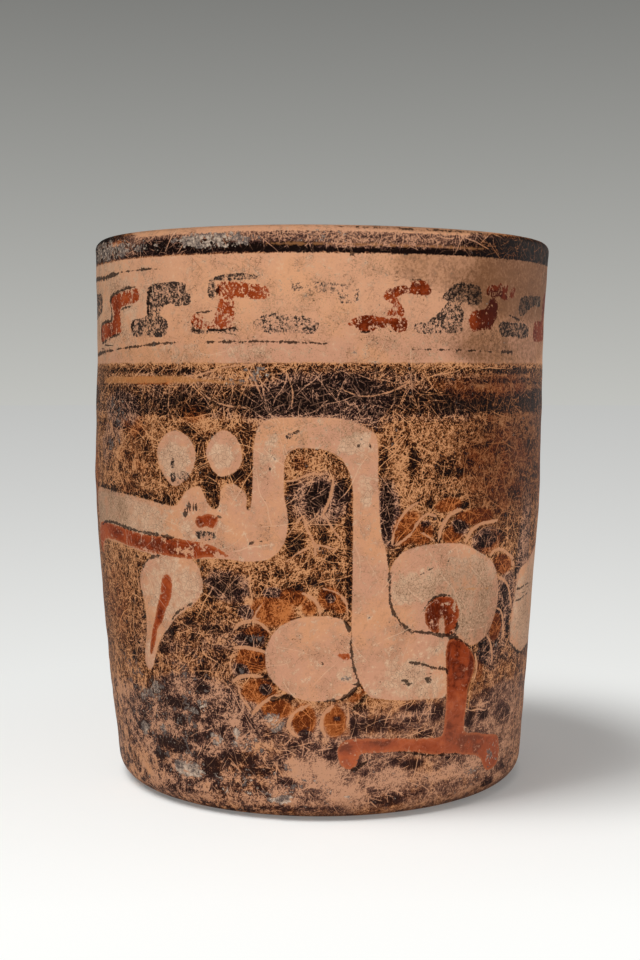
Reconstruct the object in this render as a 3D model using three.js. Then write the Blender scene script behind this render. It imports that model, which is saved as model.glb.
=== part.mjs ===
// A hand-built ceramic drinking vessel, tall and nearly cylindrical, made of two pieces of clay.
// A base dish, pinched up at its edge, carries the wall, which is luted onto it along a flat seam.
// Millimetres, +Z up. The origin is the middle of the flat underside, on the surface it stands on.
// The side that is looked at first faces -Y.
import * as THREE from "three";

// Heights, from the surface that the vessel stands on
const vesselHeight = 171; // crest of the lip
const seamHeight = 16; // where the wall is luted onto the dish
const taperHeight = 96; // below this the wall draws in towards the foot
const flareHeight = 118; // above this it opens again, a very little, towards the lip

// Radii and thicknesses
const bodyRadius = 72.1; // outside, where the wall stands straight
const footInset = 6.6; // how far the wall has drawn in where it would meet the ground
const taperPower = 1.3; // over 1, so that the taper starts softly
const rimFlare = 0.9; // how far the wall has opened at the lip
const heelRound = 6; // outside, between the underside and the wall
const floorThickness = 7.5;
const floorFillet = 7; // inside, where the floor is smoothed into the wall
const footThickness = 7.2; // the wall where it would meet the ground
const lipThickness = 5.6; // the wall at the lip, which is rounded over all of it

// What the hand left: the axis bows and leans, the plan is a little oval, the lip isn't quite level
const axisBow = 0.85; // towards -X at half height
const axisLean = 1.1; // towards +X at the lip
const planOval = 0.35; // longer by this at the lip, and narrower by it at a right angle
const ovalBearing = THREE.MathUtils.degToRad(25); // of the long radius, from +X towards +Y
const lipTilt = 0.45; // the lip is higher by this on its -X side, and lower on the other

// How finely the forms are cut
const turnSteps = 80;
const wallSteps = 12;
const roundSteps = 5;

const lipRound = lipThickness / 2;
const lipStart = vesselHeight - lipRound;

// How far a quarter round keeps back from a straight side, at a share of the round's own height.
function keptBack(radius, share) {
  return radius * (1 - Math.sqrt(1 - (1 - share) ** 2));
}

// The wall's two faces, before the heel, the fillet and the lip are rounded.
function plainOutside(z) {
  const drawnIn = Math.max(0, 1 - z / taperHeight);
  const opened = Math.max(0, (z - flareHeight) / (vesselHeight - flareHeight));
  return bodyRadius - footInset * drawnIn ** taperPower + rimFlare * opened ** 2;
}

function plainInside(z) {
  return plainOutside(z) - THREE.MathUtils.lerp(footThickness, lipThickness, z / vesselHeight);
}

// Heights along a stretch of wall, evenly spaced, both ends among them.
function evenHeights(from, to, steps) {
  return Array.from({ length: steps + 1 }, (_, i) => THREE.MathUtils.lerp(from, to, i / steps));
}

// Shares of a quarter round's height, from its flat end at 0 to its upright end at 1,
// spaced evenly along the arc.
function roundShares() {
  return Array.from({ length: roundSteps + 1 }, (_, i) => 1 - Math.cos((i / roundSteps) * (Math.PI / 2)));
}

// The outer face from the underside to the crest of the lip, in the two stretches that the seam parts.
function heelProfile() {
  const heel = roundShares().map((share) => {
    const z = share * heelRound;
    return new THREE.Vector2(plainOutside(z) - keptBack(heelRound, share), z);
  });
  heel.push(new THREE.Vector2(plainOutside(seamHeight), seamHeight));
  return heel;
}

function outerWallProfile() {
  const straight = evenHeights(seamHeight, lipStart, wallSteps).map(
    (z) => new THREE.Vector2(plainOutside(z), z),
  );
  const rounded = roundShares()
    .reverse()
    .slice(1)
    .map((share) => {
      const z = vesselHeight - share * lipRound;
      return new THREE.Vector2(plainOutside(z) - keptBack(lipRound, share), z);
    });
  return [...straight, ...rounded];
}

// The inner face, which follows the outer one at the wall's thickness.
function innerWallProfile() {
  const rounded = roundShares()
    .slice(1, -1)
    .map((share) => {
      const z = vesselHeight - share * lipRound;
      return new THREE.Vector2(plainInside(z) + keptBack(lipRound, share), z);
    });
  const straight = evenHeights(seamHeight, lipStart, wallSteps)
    .reverse()
    .map((z) => new THREE.Vector2(plainInside(z), z));
  return [...rounded, ...straight];
}

function floorProfile() {
  const fillet = roundShares()
    .reverse()
    .map((share) => {
      const z = floorThickness + share * floorFillet;
      return new THREE.Vector2(plainInside(z) - keptBack(floorFillet, share), z);
    });
  return [new THREE.Vector2(plainInside(seamHeight), seamHeight), ...fillet];
}

// Turns a profile about the vertical axis, then gives it the hand-built vessel's bow, lean, oval
// and tilt. Heights change only above the seam, so the underside and the seam stay flat.
function handBuilt(profile) {
  const geometry = new THREE.LatheGeometry(profile, turnSteps).rotateX(Math.PI / 2);
  const place = geometry.attributes.position;
  for (let i = 0; i < place.count; i++) {
    const [x, y, z] = [place.getX(i), place.getY(i), place.getZ(i)];
    const share = z / vesselHeight;
    const aboveSeam = Math.max(0, (z - seamHeight) / (vesselHeight - seamHeight));
    const bearing = Math.atan2(y, x) - ovalBearing;
    const swell = 1 + (planOval / bodyRadius) * share * Math.cos(2 * bearing);
    const sway = axisLean * share ** 3 - axisBow * Math.sin(Math.PI * share);
    const drop = lipTilt * (x / bodyRadius) * aboveSeam;
    place.setXYZ(i, x * swell + sway, y * swell, z - drop);
  }
  geometry.computeVertexNormals();
  return geometry;
}

// The two pieces of clay
function baseDish() {
  const outer = heelProfile();
  const inner = floorProfile();
  const profile = [new THREE.Vector2(0, 0), ...outer, ...inner, new THREE.Vector2(0, floorThickness)];
  const clay = new THREE.MeshStandardMaterial({ color: 0x9a6238, roughness: 0.72, metalness: 0 });
  const mesh = new THREE.Mesh(handBuilt(profile), clay);
  mesh.name = "base_dish";
  return mesh;
}

function wall() {
  const outer = outerWallProfile();
  const profile = [...outer, ...innerWallProfile(), outer[0].clone()];
  const slip = new THREE.MeshStandardMaterial({ color: 0xc68a5c, roughness: 0.55, metalness: 0 });
  const mesh = new THREE.Mesh(handBuilt(profile), slip);
  mesh.name = "wall";
  return mesh;
}

const vessel = new THREE.Group();
vessel.add(baseDish(), wall());

export default vessel;
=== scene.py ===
# A hand-built ceramic drinking vessel, slip-painted outside, standing on a pale studio floor.
# Two closed clay forms, worked out with numpy, take the places of the frame's two plain solids.
# Sizes are millimetres until a mesh is made. Arc is measured round the wall from the side that
# faces -Y, positive to the right of someone looking at it, and height is measured from the floor.
import math
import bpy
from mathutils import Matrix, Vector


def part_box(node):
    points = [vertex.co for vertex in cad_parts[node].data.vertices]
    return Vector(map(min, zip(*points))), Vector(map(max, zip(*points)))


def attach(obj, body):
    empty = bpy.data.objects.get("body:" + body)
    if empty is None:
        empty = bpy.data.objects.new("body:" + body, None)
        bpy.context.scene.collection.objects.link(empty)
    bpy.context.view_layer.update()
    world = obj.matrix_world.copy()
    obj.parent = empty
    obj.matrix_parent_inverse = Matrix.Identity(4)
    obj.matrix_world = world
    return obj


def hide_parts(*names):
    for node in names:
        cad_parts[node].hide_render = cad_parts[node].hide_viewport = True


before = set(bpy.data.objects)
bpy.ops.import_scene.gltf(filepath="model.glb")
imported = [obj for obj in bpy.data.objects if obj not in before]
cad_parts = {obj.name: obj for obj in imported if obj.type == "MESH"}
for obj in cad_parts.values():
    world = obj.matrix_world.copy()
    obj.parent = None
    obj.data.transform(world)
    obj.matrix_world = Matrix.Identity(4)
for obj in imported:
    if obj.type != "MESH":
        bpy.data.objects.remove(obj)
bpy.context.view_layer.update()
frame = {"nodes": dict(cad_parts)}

from types import SimpleNamespace

import bpy
import numpy as np

mm = 0.001
print("frame:", ", ".join(frame["nodes"]))


# Form: the same profile as the solids

form = {
    "seam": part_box("base_dish")[1].z / mm,  # height of the flat seam between the dish and the wall
    "bodyRadius": 72.1,
    "taperHeight": 96,  # the wall draws in below this
    "footInset": 6.6,
    "taperPower": 1.3,
    "flareHeight": 118,  # and opens a little above this
    "rimFlare": 0.9,
    "heelRound": 6,
    "floorThickness": 7.5,
    "floorFillet": 7,
    "footThickness": 7.2,
    "lipThickness": 5.6,
    "axisBow": 0.85,
    "axisLean": 1.1,
    "planOval": 0.35,
    "ovalBearing": math.radians(25),
    "lipTilt": 0.45,
    "slowSwell": 0.16,  # height of the broad unevenness that fingers and paddle left
    "slowSize": 46,
    "shortSwell": 0.06,
    "shortSize": 13,
    "wipeRidge": 0.14,  # ridges inside, where the wall was wiped round
    "ridgeSpacing": 2.3,
    "ridgeDrift": 60,
    "lipNicks": 0.22,
    "nickSize": 5,
    "crustRise": 0.16,  # how far the mineral crust stands proud
    "crustGrain": 3.2,
}
lipRound = form["lipThickness"] / 2
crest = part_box("wall")[1].z / mm - form["lipTilt"] * (1 - lipRound / form["bodyRadius"])
lipStart = crest - lipRound
turn = 2 * math.pi * form["bodyRadius"]  # arc length of a whole turn
sideTurn = turn / 2  # the painted scene is there twice, so it starts again after half a turn


# The outer face's radius at a height: the body's, less a power of the way down to the foot, plus
# the square of the way up to the lip
def outerRadius(height):
    drawnIn = np.clip(1 - height / form["taperHeight"], 0, None)
    opened = np.clip((height - form["flareHeight"]) / (crest - form["flareHeight"]), 0, None)
    return (
        form["bodyRadius"]
        - form["footInset"] * drawnIn ** form["taperPower"]
        + form["rimFlare"] * opened**2
    )


# The inner face follows it, at a thickness that changes evenly from foot to lip
def innerRadius(height):
    share = height / crest
    thinning = (form["footThickness"] - form["lipThickness"]) * share
    return outerRadius(height) - form["footThickness"] + thinning


# How far a quarter round keeps back from a straight side, at a share of its own height: its radius,
# times 1 less the root of 1 minus the square of the rest of that share
def keptBack(radius, share):
    return radius * (1 - np.sqrt(np.clip(1 - (1 - share) ** 2, 0, 1)))


# Shares of a quarter round's height, evenly spaced along its arc: 1 less the cosines of even angles
def roundShares(steps):
    return 1 - np.cos(np.linspace(0, math.pi / 2, steps + 1))


# A soft step from 0 at low to 1 at high: three squares of the share between them, less two cubes
def rise(value, low, high):
    share = np.clip((value - low) / (high - low), 0, 1)
    return share * share * (3 - 2 * share)


# A rough field without a seam: a sum of plane waves in random directions through the points
def roughness(points, size, seed, waves=22):
    random = np.random.default_rng(seed)
    ways = random.normal(size=(waves, 3))
    ways /= np.linalg.norm(ways, axis=1)[:, None]
    spans = size * random.uniform(0.7, 1.5, waves)
    starts = random.uniform(0, 2 * math.pi, waves)
    total = np.zeros(points.shape[:-1])
    for way, span, start in zip(ways, spans, starts):
        total += np.cos(points @ way * (2 * math.pi / span) + start)
    return total * math.sqrt(2 / waves)


# Puts rings of radius and height into place, as the solids have them. The axis leans by the cube of
# the share of the height and bows by half a sine wave, the plan swells by the cosine of twice the
# bearing, and the lip's tilt grows evenly from the seam up
def handBuilt(radius, angle, height):
    share = height / crest
    aboveSeam = np.clip((height - form["seam"]) / (crest - form["seam"]), 0, None)
    x, y = radius * np.sin(angle), -radius * np.cos(angle)
    bearing = np.arctan2(y, x) - form["ovalBearing"]
    swell = 1 + form["planOval"] / form["bodyRadius"] * share * np.cos(2 * bearing)
    sway = form["axisLean"] * share**3 - form["axisBow"] * np.sin(math.pi * share)
    drop = form["lipTilt"] * x / form["bodyRadius"] * aboveSeam
    return np.stack([x * swell + sway, y * swell, height - drop], axis=-1)


# Painting: outlines and strokes laid out flat, as arc and height in millimetres

cream = {  # the pale figures, kept free of the dark ground
    "longNeck": [
        (-92, 91.5), (-88, 93.9), (-76, 93.8), (-62, 93), (-50, 91.8), (-44.5, 91.2), (-42.4, 92.6),
        (-40.4, 95.2), (-37.8, 96.9), (-35.2, 97.2), (-33.8, 95), (-32.7, 92.6), (-31.2, 91.2),
        (-29.3, 91.3), (-28.6, 93.4), (-28.4, 96.2), (-27.2, 97.8), (-25.4, 98.4), (-23.2, 97.8),
        (-21.2, 96.2), (-20.4, 94.4), (-20.6, 91.6), (-19.8, 90.8), (-19, 93), (-18.7, 97),
        (-18.5, 104), (-18.2, 110), (-17.2, 114.2), (-14.6, 116.6), (-10, 117.3), (-2, 117.4),
        (5, 117.2), (10.5, 116), (13.8, 114.4), (16.4, 112.4), (17, 108), (17.1, 100), (17.6, 93),
        (18.2, 85), (19.7, 80), (20.8, 74), (21.3, 66), (22.4, 61.8), (25.6, 57.9), (29.2, 55.6),
        (36, 54.4), (41.6, 53), (42.2, 44), (42, 35.6), (34, 35.1), (26, 35.4), (19, 36.3), (15.8, 37),
        (13.6, 40), (11.2, 45), (10.3, 50), (10.1, 60), (10.2, 75), (10.1, 90), (9.8, 98), (8.6, 102.6),
        (6.2, 106.2), (2, 108.3), (-3, 108.9), (-6.6, 108.5), (-8.9, 106.6), (-9.6, 102), (-9.4, 95),
        (-8.5, 90), (-8.6, 85.4), (-9.6, 81.8), (-11.6, 79), (-15, 77), (-21, 76.3), (-28, 76.8),
        (-37, 76.4), (-46, 76), (-60, 76.8), (-75, 78.4), (-85, 77.8), (-88.6, 75), (-91.6, 76),
        (-93, 81), (-93, 87),
    ],
    "drop": [
        (-61.3, 66), (-60.6, 70), (-58.4, 73.2), (-54.6, 75.6), (-50, 76.8), (-43, 77), (-38.4, 76),
        (-36, 73.4), (-35, 69), (-35.6, 66.2), (-38, 63.2), (-42, 60.6), (-45.6, 58.4), (-48.4, 55.6),
        (-52.4, 51.4), (-55, 47), (-57.4, 42.4), (-59.2, 40.8), (-61.2, 43), (-60.6, 48), (-59.2, 54),
        (-59.2, 60),
    ],
    "leftDisc": [
        (-15.7, 48), (-15, 43.8), (-12.6, 40.8), (-9, 38.2), (-4, 36.4), (2, 36), (7, 36.9), (10.6, 39),
        (12.6, 41.6), (11, 46), (10, 51), (9.6, 56.6), (7.6, 59.6), (3, 60.9), (-3.4, 60.7),
        (-8.6, 59.2), (-12.6, 56.3), (-15, 52.4),
    ],
    "rightDisc": [
        (20.6, 62), (20.4, 70), (21.8, 75.4), (25, 79), (29.6, 80.3), (36, 80.9), (43, 80.6),
        (48, 79.7), (52.8, 77.2), (58, 74.8), (61, 71.8), (63, 67.6), (63.8, 62.5), (62.7, 57.4),
        (60, 52.9), (56.4, 50.4), (52, 49.3), (48.4, 50.4), (43, 52.6), (34, 53.6), (26, 56),
    ],
    "rightDrop": [
        (73.8, 47.4), (73.6, 56), (75.2, 63), (77.6, 69.4), (84, 71.2), (90, 73), (98, 74.8),
        (105, 73.6), (109.6, 68), (110.6, 58), (108, 49), (102, 44), (92, 42.6), (84, 42.5), (78, 44.6),
    ],
    "upperOval": [
        (-44, 113), (-39.8, 111.6), (-36.9, 107.6), (-37.4, 102.8), (-39.8, 99.4), (-43.6, 97.1),
        (-46.6, 98.4), (-50, 102.6), (-51.2, 107.4), (-48.2, 111.6),
    ],
    "lowerOval": [
        (-27.6, 113.6), (-24, 111.8), (-21.9, 107.6), (-22.4, 103.6), (-25, 101.2), (-28.4, 100.4),
        (-30.8, 102), (-32.6, 105), (-33.2, 107.6), (-31, 111.6),
    ],
}

red = [  # the red paint: how much of it is left, then its outline
    (0.86, [
        (-92.8, 78), (-91.4, 81.8), (-87, 83.3), (-78, 83.5), (-68, 82.8), (-58, 81.9), (-47, 81.9),
        (-39, 81.4), (-33, 80.8), (-28.6, 79.2), (-26.4, 77.4), (-33.6, 77), (-38, 76.2), (-46, 76.4),
        (-58, 77), (-68, 77.9), (-77, 78.6), (-84, 78.2), (-87.4, 76.4), (-88.6, 73.6), (-91, 73.8),
    ]),
    (0.92, [
        (-36.9, 87), (-36, 88.8), (-34.3, 88.9), (-32.8, 89.6), (-30.9, 89.2), (-29.2, 88.6),
        (-29.8, 86.6), (-31.2, 85.4), (-33.3, 86), (-35.4, 85.2),
    ]),
    (0.95, [
        (-48.2, 70.9), (-46.6, 69.6), (-46.8, 65.4), (-48.3, 62.4), (-50.2, 59.6), (-51.8, 56.2),
        (-53.4, 54.8), (-54.3, 53.2), (-55.4, 49.6), (-57.4, 45.8), (-58.2, 46.4), (-57.4, 50.4),
        (-56.4, 53.8), (-55, 56.4), (-53.6, 60.4), (-51.7, 65.2), (-50.3, 69.8),
    ]),
    (0.86, [(5.4, 50.2), (7.6, 49.9), (9.4, 49.9), (9.3, 48.1), (7.2, 48.4)]),
    (0.84, [
        (38.2, 54.5), (35.6, 55.1), (33.4, 57.6), (32.8, 60.6), (33.8, 63.4), (36.2, 65), (39.4, 65.3),
        (42.4, 64.4), (44.8, 62), (45.4, 58.6), (44.3, 55.4), (42.6, 53.4), (40.5, 53.8), (40, 56.5),
        (39.4, 59), (38.3, 58.9), (37.9, 56.6),
    ]),
    (1.0, [
        (41.6, 51.5), (44.4, 52.4), (47.2, 51.5), (50, 49.3), (52.7, 46.2), (53.6, 43), (52.7, 39.6),
        (51.2, 36), (50.8, 31), (50.3, 26.6), (51, 22.9), (56, 21.9), (62, 20.3), (67, 19.4),
        (69.8, 18), (71.1, 15.2), (71.1, 12.2), (69.6, 9.8), (66, 8.7), (62.6, 9.2), (60.8, 11.4),
        (59.2, 13.4), (55.6, 15), (50, 16.1), (47, 17), (40, 17.6), (35.6, 18.3), (31, 19.4),
        (24.5, 20.1), (17.8, 20.2), (13, 20.2), (12.2, 18.4), (11.4, 16.6), (9.2, 15.7), (6.9, 16.9),
        (5.9, 19.4), (5.8, 22), (7.4, 23.8), (10, 24.7), (15, 24.6), (20, 24.4), (25, 24.1), (30, 23.4),
        (36, 23), (40.8, 23), (41.9, 26), (42.1, 32), (41.8, 40), (41, 47),
    ]),
    # Stepped marks, from left to right
    (0.84, [
        (-76, 152.2), (-70, 153.4), (-64, 154), (-60.4, 154.2), (-60, 150.8), (-64, 149.8),
        (-69.8, 148.8), (-70, 145.4), (-69.6, 142), (-72, 141.1), (-80, 139.9), (-86.4, 138.9),
        (-86.8, 141.4), (-86.2, 143.6), (-80, 144.7), (-75.4, 145), (-75.4, 148.8), (-76.6, 150.4),
    ]),
    (0.62, [
        (-29.8, 154.9), (-24, 155), (-18, 154.4), (-14.9, 153.2), (-14.8, 150.7), (-19, 150.4),
        (-23.6, 150.9), (-30, 151),
    ]),
    (0.52, [
        (-29.4, 150.2), (-25.2, 150), (-24.8, 146.6), (-24.8, 142.8), (-27, 142), (-31, 142.4),
        (-31, 145.4), (-30, 147.4),
    ]),
    (0.62, [
        (-38.6, 145.8), (-36, 146.4), (-34.6, 145.4), (-33, 144.2), (-31, 144.6), (-31, 142.4),
        (-35, 142.2), (-38.2, 142.6),
    ]),
    (0.8, [
        (7.3, 143.4), (8.6, 144.7), (12, 145.9), (16, 145.6), (18.8, 145), (18.8, 142.6), (16, 142.6),
        (14.4, 141.4), (11, 141.5), (9.6, 142.8),
    ]),
    (0.86, [(19.2, 144.6), (22, 145.4), (24.6, 145), (24.8, 142.4), (23.6, 141.5), (21, 141.6)]),
    (0.66, [
        (18.8, 146), (19.8, 149), (17.6, 151), (19, 153.4), (25, 154.4), (25, 152.2), (21.4, 151),
        (23.6, 148), (23.4, 146),
    ]),
    (0.96, [
        (25, 154.4), (26.4, 155.7), (29.4, 155.9), (31, 154.8), (32.3, 152.8), (30.4, 151.9),
        (27.6, 151.8), (25, 152.8),
    ]),
    (0.94, [
        (45.6, 145.6), (47.4, 147.8), (50.4, 148.2), (53, 149.4), (54, 151.6), (56.8, 151.2),
        (57.3, 147.4), (56, 144.8), (54.8, 142.9), (50.4, 142.4), (46.8, 142.1),
    ]),
    (0.84, [(52.4, 152.8), (52.6, 155), (55.6, 155.6), (56.8, 154.6), (57, 152.2), (54.6, 152.2)]),
    (0.8, [
        (57.6, 152.8), (57.4, 156), (59.6, 155.9), (62, 155.8), (61.4, 153.4), (62.8, 151.8),
        (60.6, 151.4),
    ]),
    (0.78, [(63.2, 153), (64.2, 155), (66, 155), (66, 153.2), (64.8, 152)]),
    (0.92, [(81.3, 140.2), (81.4, 145), (86, 146), (96, 145.6), (97, 141), (90, 139.8)]),
    (0.8, [(92, 145), (92, 154), (104, 154.4), (104, 149.6), (97, 148.8), (97, 145)]),
]

blackMarks = [  # the black stepped marks and smudges: how much is left, then the outline
    (0.74, [
        (-36.9, 84.4), (-35, 84.6), (-31, 84.2), (-29.8, 83.4), (-31.6, 82.2), (-34, 81.9),
        (-36.4, 82.8),
    ]),
    (0.95, [(-45.4, 100.9), (-43.8, 100.9), (-43.4, 99.4), (-44.2, 98.2), (-45.4, 98.4)]),
    (0.95, [(-45.3, 104.8), (-44.6, 105), (-44.2, 103.4), (-44.6, 102.2), (-45.5, 102.6)]),
    (0.9, [(-9.6, 111.6), (-8.4, 113), (-6.6, 113.2), (-7.4, 111.9), (-8.8, 111.2)]),
    (0.66, [(-31, 156.6), (-26, 157.4), (-20, 157.2), (-18, 156), (-24, 155.8), (-30, 155.6)]),
    (0.7, [(-33, 155.6), (-31, 156), (-30.8, 152), (-31.6, 150.6), (-33, 151.4)]),
    (0.6, [(-38, 142.2), (-30, 142.2), (-24.4, 142.6), (-24.4, 141.4), (-31, 140.9), (-38, 141)]),
    (0.46, [(-43.4, 100.4), (-40.6, 101.4), (-38.8, 100), (-41, 98.4), (-43, 98)]),
    (0.86, [
        (-110, 153.8), (-94, 153.9), (-87.5, 153.8), (-85.4, 152.6), (-84.6, 150.5), (-85.4, 148.2),
        (-90, 147), (-96, 146.3), (-110, 146),
    ]),
    (0.74, [
        (-56.2, 149.5), (-56, 153), (-54.3, 154.9), (-50, 155.4), (-46, 155.6), (-41, 155),
        (-41.2, 153), (-39, 151.6), (-39.8, 149), (-44, 148.9), (-46.6, 149.6), (-49.4, 148.2),
        (-50.3, 146.2), (-48.3, 145.2), (-47.3, 143.2), (-47.8, 141), (-50, 140.1), (-55, 140),
        (-61, 140.1), (-63.6, 141.2), (-64.2, 143), (-62.8, 144.9), (-59, 145.5), (-56.2, 146.2),
    ]),
    (0.5, [
        (-18.8, 143.4), (-17, 145.4), (-13, 146.3), (-8, 145.8), (-3, 145), (-0.8, 143.6),
        (-1.6, 141.2), (-5, 140.8), (-10, 141.2), (-15, 141),
    ]),
    (0.72, [(-4, 143.9), (-0.8, 143.9), (-1.4, 141), (-4.2, 140.9)]),
    (0.3, [
        (-8.6, 154.9), (-4, 154.9), (9, 154), (9.6, 150), (5.2, 149.2), (4, 151.4), (-4, 152.6),
        (-8, 152.6),
    ]),
    (0.56, [(4.8, 152), (7.2, 151.6), (7, 149.4), (5.2, 149.4)]),
    (0.62, [
        (27, 143.6), (31, 144.4), (35, 147), (37.4, 149.6), (42.6, 149), (43.6, 144), (42, 141.8),
        (35, 141.2), (30, 141.2), (27.6, 142),
    ]),
    (0.76, [
        (36, 151.6), (38.4, 154), (41, 155.6), (46, 155.4), (49.6, 154.4), (50, 150), (47, 149.7),
        (43, 150.2), (39, 149.8),
    ]),
    (0.82, [(44.6, 151.6), (47, 152.2), (49.8, 153), (49.9, 150), (45, 149.8)]),
    (0.76, [
        (58.4, 144), (60, 144.9), (66, 144.8), (71, 145), (75, 144.6), (76.5, 142.8), (75.6, 140.8),
        (72, 140.3), (66, 140.9), (60.8, 140.8), (59, 142),
    ]),
    (0.92, [(70.6, 144.2), (73.4, 145), (76, 143.6), (76, 141.2), (73, 140.5), (70.4, 141.4)]),
    (0.74, [
        (69.2, 150.4), (70.6, 152.6), (76, 153.3), (86, 153.4), (86.6, 150.6), (80, 150.4), (76, 149),
        (72, 147.2), (69.4, 147.4),
    ]),
    (0.86, [
        (99, 141), (98.6, 145.4), (105, 146.4), (105, 154), (118, 154), (118, 148.6), (112, 148),
        (112, 140.8),
    ]),
]

ink = [  # dark lines: half width, then the points that they pass through
    (0.42, [
        (20.3, 80.6), (20.6, 77), (21.2, 72), (21.3, 66), (22.6, 61.7), (25.6, 57.9), (28.6, 55.5),
    ]),
    (0.5, [(28.6, 55.5), (33, 55.1), (38, 53.9), (41.4, 53.4)]),
    (0.75, [(40.6, 53.6), (43.8, 52.8), (46.4, 51.7)]),
    (0.45, [(45.6, 52.1), (48, 50.7), (50.4, 49)]),
    (0.6, [(50.2, 49.1), (51.6, 48.6)]),
    (0.42, [(28.2, 46.4), (32.6, 45.7), (36, 44.4), (39.6, 43.7), (41.7, 43), (41.9, 41.6)]),
    (0.6, [(8, 59.6), (9.2, 57.6), (9.5, 56.2)]),
    (0.26, [(9.9, 54), (10.2, 49), (10.8, 45.4), (12.4, 41.4), (13.4, 39.4)]),
    (0.6, [(6.8, 36.5), (9.4, 38), (11.4, 39.5), (12.7, 41)]),
    (0.75, [(10.4, 33.2), (12.8, 35.4), (15.2, 37.6)]),
    (0.65, [(-14.4, 36.2), (-12.2, 37), (-9.4, 37.6), (-7.8, 37)]),
    (0.22, [(-1, 36), (3, 36.2), (5.6, 36.5)]),
    (0.46, [(-88, 82), (-84, 83.4), (-75, 83.9), (-66, 83), (-56, 82.5), (-51, 82.4)]),
    (0.6, [(-50, 82.2), (-47.5, 81.9), (-44.6, 82.1)]),
    (0.42, [(-90, 94.4), (-78, 94.2), (-68, 93.8), (-60, 93.5), (-52, 92.4), (-46, 91.4)]),
    (0.36, [(-60, 70.6), (-57.6, 73.8), (-54, 75.6), (-50.6, 76.2)]),
    (0.26, [(-61.6, 66), (-60.2, 61), (-59.6, 56)]),
    (0.3, [(-47.6, 57.2), (-46, 59.2), (-43, 61), (-39, 63)]),
    (0.45, [(73.4, 47.4), (78.4, 44.3), (84, 42.4), (90, 42.6), (98, 43.2), (105, 45)]),
    (0.32, [(76.4, 63.6), (79, 63.4), (84, 63.9), (92, 63.6)]),
    (0.32, [(76.2, 59.8), (80, 59.9), (88, 60.8)]),
    (0.3, [(25, 20), (31.6, 18.8), (36, 17.8), (42, 17.2), (48, 16.6)]),
    (0.6, [(10, 15.4), (12.4, 16.2), (14.8, 17.8)]),
    (0.34, [(32.6, 61), (33.4, 63.2), (35.6, 64.9), (38.6, 65.6), (41.6, 65.2)]),
    (0.42, [(44.9, 57.4), (44.7, 55.2), (43.6, 53.6)]),
    # Borders of the stepped marks
    (0.5, [
        (-86.8, 138.9), (-87.3, 141.6), (-86.4, 144), (-82, 145), (-76.4, 145.3), (-76.3, 148),
        (-77, 150),
    ]),
    (0.5, [(-77, 150), (-76.4, 152.2), (-72, 153.5), (-66, 154.4), (-61.4, 154.7)]),
    (0.36, [(-86.6, 138.4), (-80, 139.5), (-74, 140.6), (-70, 141.2)]),
    (0.34, [(-69.7, 148.2), (-67, 148.9), (-64, 149.2)]),
    (0.7, [(-55.4, 146.6), (-55.4, 150), (-55, 153), (-53.4, 154.6)]),
    (0.5, [(-63.6, 141.4), (-63.4, 143.6), (-61.8, 144.8)]),
    (0.5, [(-30.4, 151), (-30.2, 152.6), (-29.8, 154)]),
    (0.65, [(-38.4, 143.4), (-37.8, 141.8), (-35.8, 141.7)]),
    (0.34, [(-37.4, 146.8), (-35, 146.8), (-32, 147.2)]),
    (0.3, [(-34, 141.6), (-31, 141.8), (-28.6, 141.6), (-24.6, 142.6)]),
    (0.4, [(11, 141.4), (13.2, 141.2), (14.4, 141.6)]),
    (0.3, [(19.8, 141.6), (22.4, 141.4)]),
    (0.3, [(26, 156), (28.4, 156.2)]),
    (0.3, [(62.4, 147.2), (66, 146.6), (70, 145.6)]),
    # Lines of the buff field and of the rim
    (0.7, [(-103, 158.6), (-92, 158.5), (-82, 158.4), (-76, 158.8), (-72, 159)]),
    (0.22, [(-72, 159.2), (-64, 159.5), (-56, 159.6), (-51, 159.5)]),
    (0.5, [(-98, 134.8), (-90, 135.4), (-82, 136), (-75, 136.2)]),
    (0.3, [(-72, 136.6), (-62, 137.2), (-52, 138), (-44, 138.4)]),
    (0.3, [(-34, 138.4), (-24, 138.5), (-12, 138.5), (-4, 138.2), (2, 138)]),
    (0.13, [(26, 136.6), (34, 136.6), (42, 136.5), (50, 136.4), (56, 136.2)]),
    (0.4, [(60, 136.3), (63, 136.2), (66, 136.2)]),
    (0.75, [(-30, 164), (-16, 164), (-4, 163.9), (10, 163.9), (24, 164), (42, 164.2)]),
    (0.45, [(7, 163.3), (8.8, 162.2)]),
    (0.1, [(4, 170.4), (20, 170.3), (40, 170.2), (60, 170)]),
    # Small dark places on the figures
    (0.6, [(-38.8, 92.6), (-38.6, 90.2)]),
    (0.6, [(-36.4, 92.4), (-36.4, 90.6)]),
    (0.56, [(-40.5, 90.2), (-40.2, 88)]),
    (0.34, [(-29.8, 89.2), (-28.4, 88.6)]),
    (0.5, [(-19.6, 81.4), (-18.2, 82.2)]),
    (0.3, [(-16.6, 82.2), (-15.4, 82.6)]),
    (0.5, [(-13.9, 86.8), (-13.7, 85.6)]),
    (0.3, [(-7, 113), (-5.4, 113.8)]),
    (0.55, [(11, 109.6), (11.6, 109.2)]),
    (0.42, [(14.6, 110.2), (14.8, 109.2)]),
    (0.3, [(-14.2, 104.6), (-13.6, 102.4)]),
    (0.3, [(-15.2, 94), (-14.9, 93.8)]),
    (0.5, [(19, 41.5), (19.2, 41)]),
    (0.28, [(25.6, 41.1), (27, 41.2), (28.8, 41)]),
    (0.26, [(26.2, 40.1), (27.6, 40), (29, 40.1)]),
    (0.26, [(33, 41.3), (34.4, 41.4), (36, 41.7)]),
    (0.22, [(33.4, 40.4), (34.8, 40.4), (36, 40.6)]),
    (0.45, [(1.3, 47.6), (1.7, 47)]),
    (0.02, [(27.4, 71), (32, 72.6), (37, 74.8), (41, 75.6)]),
]

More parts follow.
